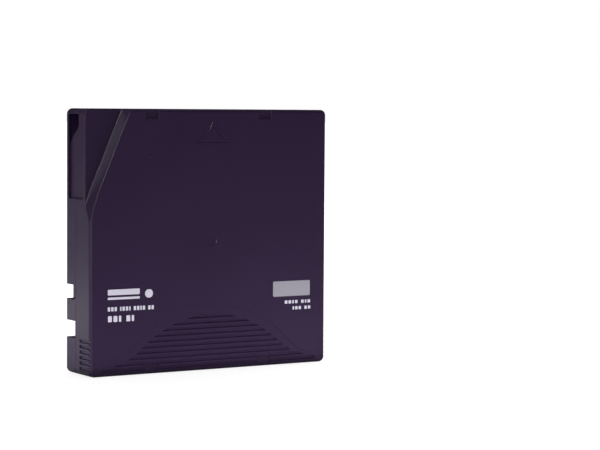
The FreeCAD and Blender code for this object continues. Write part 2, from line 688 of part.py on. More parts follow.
def arrow_line():
    """Engraved arrowhead with hollow flanks that points to the edge inserted first."""
    level = CASE_THICKNESS - ARROW_DEPTH
    base_z = ARROW_TIP_Z - ARROW_LENGTH

    def outline(inset):
        half = ARROW_HALF_WIDTH - 2 * inset
        tip = at(0, level, ARROW_TIP_Z - 1.6 * inset)
        left = at(-half, level, base_z + inset)
        right = at(half, level, base_z + inset)
        sag = ARROW_SAG
        mid_z = (tip.z + left.z) / 2 - sag
        left_mid = at(-half / 2 + sag, level, mid_z)
        right_mid = at(half / 2 - sag, level, mid_z)
        return Part.Wire([Part.Arc(left, left_mid, tip).toShape(), Part.Arc(tip, right_mid, right).toShape(),
                          Part.LineSegment(right, left).toShape()])

    height = TOWARDS_COVER * BEYOND
    outer = Part.Face(outline(0.0)).extrude(height)
    inner = Part.Face(outline(ARROW_LINE)).extrude(height)
    return outer.cut(inner)


def upper_shell():
    """Cover half of the case, with the stepped corner, the grips and the brake's key."""
    body = prism(case_outline(0.0), PARTING_HEIGHT, CASE_THICKNESS)
    body = body.makeFillet(EDGE_RADIUS, level_edges(body, CASE_THICKNESS))

    cavity = prism(case_outline(SIDE_WALL), PARTING_HEIGHT - BEYOND, COVER_CEILING)
    cavity = cavity.cut(step_block(STEP_CEILING, STEP_FLOOR_WALL))
    body = body.cut(cavity)

    inside = [well_wall(PARTING_HEIGHT, CASE_THICKNESS).common(cavity)]
    for x, z in screw_places():
        inside.append(disc(SCREW_BOSS_RADIUS, PARTING_HEIGHT, COVER_CORE, x, z))
    inside.append(disc(POST_RADIUS, POST_TIP, COVER_CORE))
    key = block(-KEY_LENGTH / 2, KEY_LENGTH / 2, KEY_TIP_HEIGHT, COVER_CEILING,
                REEL_Z - KEY_WALL / 2, REEL_Z + KEY_WALL / 2)
    inside += [key, turned(key, 90)]
    rim = BRAKE_SPRING_RADIUS + BRAKE_SPRING_WIRE
    inside.append(ring(rim, rim + SPRING_RIM_WALL, COVER_CEILING - SPRING_RIM_DEPTH, COVER_CORE))

    inside.append(door_guides(DOOR_HIGH - GUIDE_DEPTH, COVER_CORE, DOOR_REAR_Z - 2 * DOOR_OVERLAP,
                              GUIDE_END_Z))
    ledge_z = TAIL_END_Z + LUG_LENGTH + DOOR_OVERLAP
    inside.append(block(LEFT + DOOR_LIP, GUIDE_X + GUIDE_WALL, STEP_CEILING, COVER_CORE, ledge_z,
                        DOOR_REAR_Z - DOOR_OVERLAP))
    rail_x = DOOR_SPRING_X + DOOR_SPRING_RADIUS + DOOR_SPRING_WIRE / 2 + SPRING_RAIL_CLEARANCE
    rail_x = max(rail_x, LUG_INNER_X + SPRING_RAIL_CLEARANCE)
    inside.append(block(rail_x, rail_x + SPRING_RAIL_WALL, LUG_LOW, COVER_CORE,
                        DOOR_SPRING_REAR_Z - SPRING_STOP_WALL, TAIL_END_Z))
    inside.append(block(LEFT + SIDE_WALL / 2, rail_x + SPRING_RAIL_WALL, LUG_LOW, COVER_CORE,
                        DOOR_SPRING_REAR_Z - SPRING_STOP_WALL, DOOR_SPRING_REAR_Z))
    inside += cradle(COVER_CORE, CRADLE_LIP, -1)
    inside.append(pin_spring_post(PIN_CENTRE_HEIGHT + PIN_SPRING_POST, COVER_CORE))
    inside += tab_rails(COVER_CORE, -1)
    body = body.fuse(inside)

    cuts = [step_block(STEP_FLOOR, 0.0), door_channel(), window_block(), label_recess(), tab_window()]
    cuts.append(parting_groove(PARTING_HEIGHT - BEYOND, PARTING_HEIGHT + PARTING_REVEAL))
    cuts += stacking_pockets()
    cuts += [dome_block(DOME_BORDER, DOME_DISH), dome_grooves(), arrow_line()]
    cuts += side_grooves() + [mirrored(tool) for tool in side_grooves()]
    cuts.append(disc(GATE_RADIUS, CASE_THICKNESS - GATE_DEPTH, CASE_THICKNESS + BEYOND))
    cuts.append(disc(VENT_DOT_RADIUS, CASE_THICKNESS - GATE_DEPTH, CASE_THICKNESS + BEYOND,
                     LEFT + VENT_DOT_INSET_X, CASE_LENGTH - VENT_DOT_INSET_Z))
    for x, z in screw_places():
        cuts.append(disc(SCREW_RADIUS + SCREW_PILOT_CLEARANCE, PARTING_HEIGHT - BEYOND,
                         SCREW_HEAD_TOP + SCREW_LENGTH, x, z))
    return body.cut(cuts)


def notch(z, length, depth, height, grow):
    """Gripper notch in the left side, or the wall round it when grown."""
    return block(LEFT - BEYOND * (grow == 0), LEFT + depth + grow, -BEYOND * (grow == 0), height + grow,
                 z - length / 2 - grow, z + length / 2 + grow)


def notches(grow):
    """Both gripper notches on both sides."""
    left = [notch(UPPER_NOTCH_Z, UPPER_NOTCH_LENGTH, UPPER_NOTCH_DEPTH, UPPER_NOTCH_HEIGHT, grow),
            notch(LOWER_NOTCH_Z, LOWER_NOTCH_LENGTH, LOWER_NOTCH_DEPTH, LOWER_NOTCH_HEIGHT, grow)]
    return left + [mirrored(shape) for shape in left]


def location_places():
    """Centres of the round and the slotted location hole."""
    return [(RIGHT - LOCATION_INSET_X, CASE_LENGTH - LOCATION_INSET_Z),
            (LEFT + LOCATION_INSET_X, LOCATION_INSET_Z)]


def location_slot(radius, low, high):
    """Slotted location hole or its boss, lengthened towards the round hole."""
    (round_x, round_z), (slot_x, slot_z) = location_places()
    angle = math.degrees(math.atan2(round_z - slot_z, round_x - slot_x))
    ends = [disc(radius, low, high, slot_x + side * LOCATION_SLOT_EXTRA / 2, slot_z) for side in (-1, 1)]
    middle = block(slot_x - LOCATION_SLOT_EXTRA / 2, slot_x + LOCATION_SLOT_EXTRA / 2, low, high,
                   slot_z - radius, slot_z + radius)
    return turned(middle.fuse(ends).removeSplitter(), angle, slot_x, slot_z)


def memory_frame(shape):
    """Place a shape drawn about the origin, length along X, into the memory's corner."""
    angle = math.radians(MEMORY_ANGLE)
    x = MEMORY_CIRCLE * math.cos(angle)
    z = REEL_Z + MEMORY_CIRCLE * math.sin(angle)
    placed = shape.copy()
    placed.rotate(at(0, 0, 0), TOWARDS_COVER, MEMORY_ANGLE + 90)
    placed.translate(Vector(x, 0, z))
    return placed


def memory_slots():
    """Two slotted posts that hold the ends of the cartridge memory."""
    posts = []
    outer = MEMORY_WALL / 2 + MEMORY_SLOT_GAP + MEMORY_SLOT_WALL
    for side in (-1, 1):
        end = side * (MEMORY_LENGTH / 2 + MEMORY_SLOT_GAP)
        x_low, x_high = sorted((end - side * MEMORY_SLOT_GRIP, end + side * MEMORY_SLOT_WALL))
        post = block(x_low, x_high, BASE_CORE, MEMORY_SLOT_HEIGHT, -outer, outer)
        groove_x = sorted((end - side * 2 * MEMORY_SLOT_GRIP, end))
        groove = block(groove_x[0], groove_x[1], BASE_WALL + MEMORY_SLOT_WALL, MEMORY_SLOT_HEIGHT + BEYOND,
                       -MEMORY_WALL / 2 - MEMORY_SLOT_GAP, MEMORY_WALL / 2 + MEMORY_SLOT_GAP)
        posts.append(memory_frame(post.cut(groove)))
    return posts


def lower_shell():
    """Base half of the case, with the spindle opening, the notches and the seats of the inner pieces."""
    body = prism(case_outline(0.0), 0.0, PARTING_HEIGHT)
    body = body.makeFillet(EDGE_RADIUS, level_edges(body, 0.0))
    corner = block(LEFT - BEYOND, RIGHT + BEYOND, -BEYOND, REAR_EDGE_RADIUS, -BEYOND, REAR_EDGE_RADIUS)
    rounding = Part.makeCylinder(REAR_EDGE_RADIUS, CASE_WIDTH + 4 * BEYOND,
                                 at(LEFT - 2 * BEYOND, REAR_EDGE_RADIUS, REAR_EDGE_RADIUS), Vector(1, 0, 0))
    body = body.cut(corner.cut(rounding))

    cavity = prism(case_outline(SIDE_WALL), BASE_WALL, PARTING_HEIGHT + BEYOND)
    bare_cavity = cavity
    for wall in notches(NOTCH_WALL):
        cavity = cavity.cut(wall)
    body = body.cut(cavity)

    inside = [well_wall(BASE_CORE, PARTING_HEIGHT).common(bare_cavity)]
    inside.append(ring(REEL_SEAT_INNER, REEL_SEAT_OUTER, BASE_CORE, BASE_WALL + REEL_SEAT_STEP))
    for x, z in screw_places():
        head_boss = SCREW_HEAD_RADIUS + SCREW_HOLE_CLEARANCE + SCREW_BOSS_WALL / 2
        inside.append(disc(head_boss, BASE_CORE, SCREW_HEAD_TOP + SCREW_BOSS_WALL, x, z))
        inside.append(disc(SCREW_BOSS_RADIUS, BASE_CORE, PARTING_HEIGHT, x, z))
    boss = LOCATION_RADIUS + LOCATION_BOSS_WALL
    boss_top = LOCATION_DEPTH + LOCATION_BOSS_WALL
    round_x, round_z = location_places()[0]
    inside.append(disc(boss, BASE_CORE, boss_top, round_x, round_z))
    inside.append(location_slot(boss, BASE_CORE, boss_top))
    guide_rear = DOOR_REAR_Z - DOOR_TRAVEL - DOOR_OVERLAP
    inside.append(door_guides(BASE_CORE, DOOR_LOW + GUIDE_DEPTH, guide_rear, GUIDE_END_Z))
    inside += cradle(BASE_CORE, CRADLE_LIP, 1)
    inside.append(pin_spring_post(BASE_CORE, PIN_CENTRE_HEIGHT - PIN_SPRING_POST))
    inside += tab_rails(BASE_CORE, 1)
    inside += memory_slots()
    body = body.fuse(inside)

    cuts = [door_channel(), window_block(), label_recess(), tab_window()]
    cuts.append(parting_groove(PARTING_HEIGHT - PARTING_REVEAL, PARTING_HEIGHT + BEYOND))
    cuts += notches(0)
    cuts.append(disc(CHUCK_OPENING_RADIUS, -BEYOND, BASE_WALL + REEL_SEAT_STEP + BEYOND))
    cuts.append(block(LEFT + DOOR_LIP, LEFT + DOOR_LIP + OPENER_SLOT_WIDTH, WINDOW_LOW, OPENER_SLOT_HIGH,
                      CAVITY_FRONT_Z - ROOT, CASE_LENGTH + BEYOND))
    cuts.append(disc(LOCATION_RADIUS, -BEYOND, LOCATION_DEPTH, round_x, round_z))
    cuts.append(location_slot(LOCATION_RADIUS, -BEYOND, LOCATION_DEPTH))
    for x, z in screw_places():
        cuts.append(disc(SCREW_HEAD_RADIUS + SCREW_HOLE_CLEARANCE, -BEYOND, SCREW_HEAD_TOP, x, z))
        cuts.append(disc(SCREW_RADIUS + SCREW_HOLE_CLEARANCE, -BEYOND, PARTING_HEIGHT + BEYOND, x, z))
    return body.cut(cuts)


def case_screws():
    """Four identical screws, heads in the base's counterbores, as separate solids."""
    screws = []
    for x, z in screw_places():
        head = disc(SCREW_HEAD_RADIUS, SCREW_SINK, SCREW_HEAD_TOP, x, z)
        shank = disc(SCREW_RADIUS, SCREW_HEAD_TOP - SCREW_HEAD_WALL / 2,
                     SCREW_HEAD_TOP + SCREW_LENGTH - SCREW_RADIUS, x, z)
        half_length = SCREW_SLOT_LENGTH / 2
        half_width = SCREW_SLOT_WIDTH / 2
        slot = block(x - half_length, x + half_length, SCREW_SINK - BEYOND, SCREW_SINK + SCREW_SLOT_DEPTH,
                     z - half_width, z + half_width)
        screws.append(head.fuse(shank).cut([slot, turned(slot, 90, x, z)]))
    return Part.makeCompound(screws)


# ---------------------------------------------------------------- reel
def face_teeth(inner, outer, root, tip, phase):
    """Ring of radial face-gear teeth; root and tip are heights, phase is in whole pitches."""
    half_pitch = math.pi / TEETH
    teeth = []

    def section(radius):
        root_half = radius * math.sin(half_pitch * TOOTH_WIDTH_SHARE)
        tip_half = root_half * TOOTH_TIP_SHARE
        sink = root - (tip - root) * 0.1
        points = [at(radius, sink, REEL_Z - root_half), at(radius, root, REEL_Z - root_half),
                  at(radius, tip, REEL_Z - tip_half), at(radius, tip, REEL_Z + tip_half),
                  at(radius, root, REEL_Z + root_half), at(radius, sink, REEL_Z + root_half)]
        return Part.makePolygon(points + points[:1])

    tooth = Part.makeLoft([section(inner), section(outer)], True, True)
    for index in range(TEETH):
        teeth.append(turned(tooth, (index + phase) * 360.0 / TEETH))
    return teeth


def leg_angles():
    """Directions of the release pad's legs, evenly spaced."""
    return [90.0 + index * 360.0 / LEG_COUNT for index in range(LEG_COUNT)]


def hub_brake_teeth():
    """Arcs of teeth inside the hub, between the holes for the legs."""
    whole = face_teeth(BRAKE_GEAR_INNER, BRAKE_GEAR_OUTER, HUB_WEB_TOP, HUB_TOOTH_TIP, 0.0)
    kept = []
    for index, tooth in enumerate(whole):
        angle = index * 360.0 / TEETH
        from_leg = min(abs((angle - leg + 180) % 360 - 180) for leg in leg_angles())
        if from_leg >= 180.0 / LEG_COUNT - HUB_TOOTH_ARC / 2:
            kept.append(tooth)
    return kept


def reel_hub():
    """Hub and lower flange in one moulding, with the drive gear below and brake teeth inside."""
    hub = ring(HUB_BORE, HUB_RADIUS, LOWER_FLANGE_BOTTOM, UPPER_FLANGE_BOTTOM)
    spigot = ring(HUB_BORE, SPIGOT_RADIUS, UPPER_FLANGE_BOTTOM - BEYOND, UPPER_FLANGE_BOTTOM + SPIGOT_HEIGHT)
    flange = ring(HUB_BORE, FLANGE_RADIUS, LOWER_FLANGE_BOTTOM, LOWER_FLANGE_TOP)
    web = disc(HUB_BORE + (HUB_RADIUS - HUB_BORE) / 2, HUB_WEB_HEIGHT, HUB_WEB_TOP)
    gear_root = LEG_TIP_HEIGHT + DRIVE_TOOTH_HEIGHT
    gear_body = ring(REEL_PLATE_RADIUS + SEAT_GAP, DRIVE_GEAR_OUTER + DRIVE_GEAR_RIM, gear_root, HUB_WEB_TOP)
    rim = ring(DRIVE_GEAR_OUTER + DRIVE_GEAR_RIM / 4, DRIVE_GEAR_OUTER + DRIVE_GEAR_RIM,
               gear_root - DRIVE_TOOTH_HEIGHT / 2, HUB_WEB_TOP)
    drive = face_teeth(DRIVE_GEAR_INNER, DRIVE_GEAR_OUTER, gear_root, LEG_TIP_HEIGHT, 0.0)
    reel = hub.fuse([spigot, flange, web, gear_body, rim] + drive + hub_brake_teeth())
    holes = []
    for angle in leg_angles():
        direction = math.radians(angle)
        holes.append(disc(LEG_RADIUS + LEG_CLEARANCE, -BEYOND, HUB_WEB_TOP + BEYOND,
                          LEG_CIRCLE * math.cos(direction), REEL_Z + LEG_CIRCLE * math.sin(direction)))
    return reel.cut(holes)


def upper_flange():
    """Annular flange fixed on the hub's spigot, with a stiffening collar."""
    bore = SPIGOT_RADIUS + SEAT_GAP
    flange = ring(bore, FLANGE_RADIUS, UPPER_FLANGE_BOTTOM, UPPER_FLANGE_TOP)
    collar = ring(bore, HUB_RADIUS, UPPER_FLANGE_BOTTOM, UPPER_FLANGE_BOTTOM + SPIGOT_HEIGHT)
    return flange.fuse(collar).removeSplitter()


def reel_plate():
    """Steel washer under the hub's web."""
    return ring(REEL_PLATE_BORE, REEL_PLATE_RADIUS, HUB_WEB_HEIGHT - REEL_PLATE_WALL, HUB_WEB_HEIGHT)


def tape_pack():
    """Wound tape on the hub."""
    return ring(HUB_RADIUS, PACK_RADIUS, TAPE_BOTTOM_HEIGHT, TAPE_TOP_HEIGHT)


def release_pad():
    """Three-lobed pad whose legs stand in the hub's holes, tips level with the drive teeth."""
    outer = LEG_CIRCLE + PAD_LOBE_RADIUS
    corners = []
    for angle in leg_angles():
        tip = math.radians(angle)
        waist = math.radians(angle + 180.0 / LEG_COUNT)
        corners.append((outer * math.cos(tip), REEL_Z + outer * math.sin(tip), LEG_RADIUS))
        corners.append((PAD_WAIST_RADIUS * math.cos(waist), REEL_Z + PAD_WAIST_RADIUS * math.sin(waist), 0.0))
    plate = prism(corners, PAD_BOTTOM, PAD_TOP)
    legs = []
    for angle in leg_angles():
        direction = math.radians(angle)
        x = LEG_CIRCLE * math.cos(direction)
        z = REEL_Z + LEG_CIRCLE * math.sin(direction)
        legs.append(disc(LEG_RADIUS, LEG_TIP_HEIGHT, PAD_TOP, x, z))
    return plate.fuse(legs)


def brake():
    """Toothed brake disc with a crosswise socket that slides on the cover's key."""
    plate = disc(BRAKE_RADIUS, BRAKE_BOTTOM, BRAKE_TOP)
    teeth = face_teeth(BRAKE_GEAR_INNER, BRAKE_GEAR_OUTER, BRAKE_BOTTOM, BRAKE_TOOTH_TIP, 0.5)
    socket = disc(SOCKET_RADIUS, BRAKE_TOP - BRAKE_WALL / 2, SOCKET_TOP)
    half_length = KEY_LENGTH / 2 + KEY_CLEARANCE
    half_wall = KEY_WALL / 2 + KEY_CLEARANCE
    slot = block(-half_length, half_length, SOCKET_FLOOR_HEIGHT, SOCKET_TOP + BEYOND,
                 REEL_Z - half_wall, REEL_Z + half_wall)
    return plate.fuse(teeth + [socket]).cut([slot, turned(slot, 90)])


def brake_spring():
    """Coil between the brake and the cover."""
    length = COVER_CEILING - BRAKE_TOP
    spring = coil(BRAKE_SPRING_RADIUS, BRAKE_SPRING_WIRE / 2, BRAKE_SPRING_TURNS, length)
    spring.rotate(Vector(0, 0, 0), Vector(1, 0, 0), 90)
    spring.translate(at(0, BRAKE_TOP, REEL_Z))
    return spring


# ---------------------------------------------------------------- leader pin and its tape
def leader_pin():
    """Steel pin with an end disc at each side of the tape."""
    shaft = disc(PIN_RADIUS, PIN_BOTTOM, PIN_TOP, PIN_X, PIN_Z)
    lower = disc(PIN_DISC_RADIUS, PIN_BOTTOM, PIN_BOTTOM + PIN_DISC_WALL, PIN_X, PIN_Z)
    upper = disc(PIN_DISC_RADIUS, PIN_TOP - PIN_DISC_WALL, PIN_TOP, PIN_X, PIN_Z)
    return shaft.fuse([lower, upper]).removeSplitter()


def tape_clip():
    """C-shaped clip that clamps the tape's end on the pin, open away from the reel."""
    inner = PIN_RADIUS + SEAT_GAP
    clip = ring(inner, inner + CLIP_WALL, TAPE_BOTTOM_HEIGHT, TAPE_TOP_HEIGHT, PIN_X, PIN_Z)
    mouth = block(PIN_X - CLIP_MOUTH / 2, PIN_X + CLIP_MOUTH / 2, 0, CASE_THICKNESS,
                  PIN_Z, PIN_Z + 2 * (inner + CLIP_WALL))
    return clip.cut(mouth)


def tape_lead():
    """Straight run of tape from the wound pack to the clip on the leader pin."""
    offset = PACK_RADIUS + LEAD_CLEARANCE + LEAD_WALL / 2
    across = PIN_X
    along = PIN_Z - REEL_Z
    distance = math.hypot(across, along)
    angle = math.atan2(along, across) + math.acos(offset / distance)
    start_x = offset * math.cos(angle)
    start_z = REEL_Z + offset * math.sin(angle)
    run_x = PIN_X - start_x
    run_z = PIN_Z - start_z
    run = math.hypot(run_x, run_z)
    share = (run - PIN_RADIUS - CLIP_WALL - 2 * SEAT_GAP) / run
    end_x = start_x + run_x * share
    end_z = start_z + run_z * share
    side_x = run_z / run * LEAD_WALL / 2
    side_z = -run_x / run * LEAD_WALL / 2
    corners = [(start_x - side_x, start_z - side_z, 0), (start_x + side_x, start_z + side_z, 0),
               (end_x + side_x, end_z + side_z, 0), (end_x - side_x, end_z - side_z, 0)]
    return prism(corners, TAPE_BOTTOM_HEIGHT, TAPE_TOP_HEIGHT)


def pin_spring_z():
    """Line of the spring's arms, in front of the pin's discs."""
    return PIN_Z + PIN_DISC_RADIUS + SEAT_GAP + PIN_SPRING_WIRE / 2


def pin_spring():
    """Bent wire whose two arms keep the pin's discs in their cradles."""
    low = PIN_BOTTOM + PIN_DISC_WALL / 2
    high = PIN_TOP - PIN_DISC_WALL / 2
    z = pin_spring_z()
    hook_x = PIN_SPRING_TIP_X
    points = [at(hook_x, low, z - PIN_SPRING_HOOK), at(hook_x, low, z), at(PIN_SPRING_BACK_X, low, z),
              at(PIN_SPRING_BACK_X, high, z), at(hook_x, high, z), at(hook_x, high, z - PIN_SPRING_HOOK)]
    hook_bend = PIN_SPRING_WIRE
    radii = [0, hook_bend, PIN_SPRING_BEND, PIN_SPRING_BEND, hook_bend, 0]
    return tube_along(rounded_path(points, radii, False), PIN_SPRING_WIRE / 2)


def pin_spring_post(low, high):
    """Post that backs the spring's bar in one case half."""
    x = PIN_SPRING_BACK_X + PIN_SPRING_WIRE / 2 + SEAT_GAP
    z = pin_spring_z()
    return block(x, x + PIN_SPRING_POST, low, high, z - PIN_SPRING_POST / 2, z + PIN_SPRING_POST / 2)


# ---------------------------------------------------------------- door
def door():
    """Sliding door with a slanted front corner, and a tail whose lug meets the door spring."""
    def side_outline(points, radii, x):
        return rounded_path([at(x, height, z) for height, z in points], radii, True)

    points = [(DOOR_LOW, DOOR_REAR_Z), (DOOR_HIGH, DOOR_REAR_Z), (DOOR_HIGH, DOOR_FRONT_Z),
              (DOOR_CUT_HEIGHT, DOOR_FRONT_Z), (DOOR_CUT_HEIGHT, DOOR_CUT_REAR), (DOOR_LOW, DOOR_CUT_FOOT)]
    radii = [0, 0, 0, 0, DOOR_CUT_RADIUS, 0]
    plate = Part.Face(side_outline(points, radii, DOOR_OUTER_X)).extrude(Vector(DOOR_WALL, 0, 0))
    tail = block(DOOR_OUTER_X, DOOR_INNER_X, TAIL_LOW, DOOR_HIGH, TAIL_END_Z, DOOR_REAR_Z + DOOR_OVERLAP)
    upright = block(DOOR_OUTER_X, DOOR_INNER_X, TAIL_LOW, LUG_HIGH, TAIL_END_Z, TAIL_END_Z + LUG_LENGTH)
    lug = block(DOOR_OUTER_X, LUG_INNER_X, LUG_LOW, LUG_HIGH, TAIL_END_Z, TAIL_END_Z + LUG_LENGTH)
    return plate.fuse([tail, upright, lug]).removeSplitter()


def door_spring():
    """Coil that closes the door, between the tail's lug and a stop in the cover."""
    length = TAIL_END_Z - DOOR_SPRING_REAR_Z
    spring = coil(DOOR_SPRING_RADIUS, DOOR_SPRING_WIRE / 2, DOOR_SPRING_TURNS, length)
    spring.translate(at(DOOR_SPRING_X, DOOR_SPRING_HEIGHT, DOOR_SPRING_REAR_Z))
    return spring


# ---------------------------------------------------------------- write-protect tab
def write_protect_tab():
    """Button in the rear window with a broader plate behind the wall."""
    half = TAB_BUTTON_HEIGHT / 2
    x_low = TAB_WINDOW_X + TAB_GAP
    x_high = x_low + TAB_BUTTON_WIDTH
    plate_z = SIDE_WALL + TAB_GAP
    plate = block(x_low - TAB_FLANGE, x_high + TAB_FLANGE, TAB_CENTRE_HEIGHT - half - TAB_FLANGE,
                  TAB_CENTRE_HEIGHT + half + TAB_FLANGE, plate_z, plate_z + TAB_WALL)
    button = block(x_low, x_high, TAB_CENTRE_HEIGHT - half, TAB_CENTRE_HEIGHT + half, TAB_RECESS, plate_z)
    middle_x = (x_low + x_high) / 2
    grip = block(middle_x - TAB_FLANGE / 2, middle_x + TAB_FLANGE / 2, TAB_CENTRE_HEIGHT - half / 2,
                 TAB_CENTRE_HEIGHT + half / 2, TAB_RECESS - BEYOND, TAB_RECESS + TAB_GRIP_DEPTH)
    return plate.fuse(button).removeSplitter().cut(grip)


# ---------------------------------------------------------------- cartridge memory
def memory_board():
    """Small board that stands on edge across the rear right corner."""
    foot = BASE_WALL + MEMORY_SLOT_WALL + MEMORY_SLOT_GAP
    board = block(-MEMORY_LENGTH / 2, MEMORY_LENGTH / 2, foot, foot + MEMORY_HEIGHT,
                  -MEMORY_WALL / 2, MEMORY_WALL / 2)
    return memory_frame(board)


def memory_chip():
    """Contactless memory chip on the board's outer face."""
    foot = BASE_WALL + MEMORY_SLOT_WALL + MEMORY_SLOT_GAP + (MEMORY_HEIGHT - MEMORY_CHIP) / 2
    chip = block(-MEMORY_CHIP / 2, MEMORY_CHIP / 2, foot, foot + MEMORY_CHIP,
                 -MEMORY_WALL / 2 - MEMORY_CHIP_WALL, -MEMORY_WALL / 2)
    return memory_frame(chip)


NODES = {
    "upper_shell": upper_shell,
    "lower_shell": lower_shell,
    "case_screws": case_screws,
    "reel_hub": reel_hub,
    "upper_flange": upper_flange,
    "reel_plate": reel_plate,
    "tape_pack": tape_pack,
    "release_pad": release_pad,
    "brake": brake,
    "brake_spring": brake_spring,
    "leader_pin": leader_pin,
    "tape_clip": tape_clip,
    "tape_lead": tape_lead,
    "pin_spring": pin_spring,
    "door": door,
    "door_spring": door_spring,
    "write_protect_tab": write_protect_tab,
    "memory_board": memory_board,
    "memory_chip": memory_chip,
}

os.makedirs("parts", exist_ok=True)
for name, make in NODES.items():
    shape = make()
    shape.exportStep(os.path.join("parts", name + ".step"))
    print(name, "valid", shape.isValid(), "solids", len(shape.Solids), "volume", round(shape.Volume, 2))
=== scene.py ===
"""Looks of a half-inch data tape cartridge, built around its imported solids.

X runs across the width, Y through the thickness towards the base, and Z up from the rear edge
that the cartridge stands on, in the part's own frame. Everything is in metres unless its
docstring or comment says millimetres.
"""

import logging
import math
from abc import ABC, abstractmethod
from dataclasses import dataclass, field, replace
from enum import Enum
from typing import Optional, Sequence, Union

import bpy
import numpy as np
from mathutils import Matrix, Vector

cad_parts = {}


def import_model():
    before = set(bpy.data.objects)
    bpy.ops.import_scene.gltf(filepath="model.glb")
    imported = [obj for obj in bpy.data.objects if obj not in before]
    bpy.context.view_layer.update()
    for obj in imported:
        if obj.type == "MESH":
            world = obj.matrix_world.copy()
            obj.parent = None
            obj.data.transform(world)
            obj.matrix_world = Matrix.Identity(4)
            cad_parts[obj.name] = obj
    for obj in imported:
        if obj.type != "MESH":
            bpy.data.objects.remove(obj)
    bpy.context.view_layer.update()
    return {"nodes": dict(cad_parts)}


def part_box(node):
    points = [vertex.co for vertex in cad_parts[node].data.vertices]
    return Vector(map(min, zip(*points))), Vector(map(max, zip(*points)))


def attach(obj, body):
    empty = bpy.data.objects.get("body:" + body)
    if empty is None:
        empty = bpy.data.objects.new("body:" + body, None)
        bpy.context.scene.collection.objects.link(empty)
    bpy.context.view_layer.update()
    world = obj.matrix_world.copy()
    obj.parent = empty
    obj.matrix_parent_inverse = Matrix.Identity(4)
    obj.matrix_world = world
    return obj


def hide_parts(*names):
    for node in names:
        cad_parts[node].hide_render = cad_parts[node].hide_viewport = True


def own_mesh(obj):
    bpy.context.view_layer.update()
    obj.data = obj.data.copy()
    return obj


LOG = logging.getLogger("cartridge")
MM = 0.001
REEL_Z = 51.0  # height of the reel's axis, in millimetres
Colour = tuple[float, float, float]


# ---------------------------------------------------------------- shader maths
class Wire:
    """A node's output socket, on which Python's operators add Math nodes."""

    def __init__(self, graph: "Graph", socket: bpy.types.NodeSocket) -> None:
        """Keep the graph and the socket."""
        self.graph = graph
        self.socket = socket

    def _maths(self, operation: str, first: "Value", second: "Value" = 0.0) -> "Wire":
        """Add a Math node.

        Args:
            operation: the Math node's operation.
            first: its first value or link.
            second: its second value or link.

        Returns:
            The node's output.
        """
        return self.graph.node("ShaderNodeMath", {"operation": operation}, {0: first, 1: second})

    def __add__(self, other: "Value") -> "Wire":
        """Sum."""
        return self._maths("ADD", self, other)

    def __radd__(self, other: "Value") -> "Wire":
        """Sum with a number on the left."""
        return self._maths("ADD", other, self)

    def __sub__(self, other: "Value") -> "Wire":
        """Difference."""
        return self._maths("SUBTRACT", self, other)

    def __rsub__(self, other: "Value") -> "Wire":
        """Difference from a number on the left."""
        return self._maths("SUBTRACT", other, self)

    def __mul__(self, other: "Value") -> "Wire":
        """Product."""
        return self._maths("MULTIPLY", self, other)

    def __rmul__(self, other: "Value") -> "Wire":
        """Product with a number on the left."""
        return self._maths("MULTIPLY", other, self)

    def __pow__(self, other: "Value") -> "Wire":
        """Power."""
        return self._maths("POWER", self, other)

    def __rpow__(self, other: "Value") -> "Wire":
        """Power of a number on the left."""
        return self._maths("POWER", other, self)

    def most(self, other: "Value") -> "Wire":
        """Larger of two values."""
        return self._maths("MAXIMUM", self, other)

    def sine(self) -> "Wire":
        """Sine of the value in radians."""
        return self._maths("SINE", self)

    def swing(self, amount: float) -> "Wire":
        """Distance of a value from the middle of its 0 to 1 range, times an amount."""
        return (self - 0.5) * amount

    def step(self, start: float, end: float) -> "Wire":
        """Smooth rise from 0 to 1 between two values.

        Args:
            start: value at which the result is 0.
            end: value at which the result is 1.

        Returns:
            The eased share between the two.
        """
        sockets = {0: self, 1: start, 2: end, 3: 0.0, 4: 1.0}
        return self.graph.node("ShaderNodeMapRange", {"interpolation_type": "SMOOTHSTEP"}, sockets)


Value = Union[Wire, int, float, Sequence[float]]


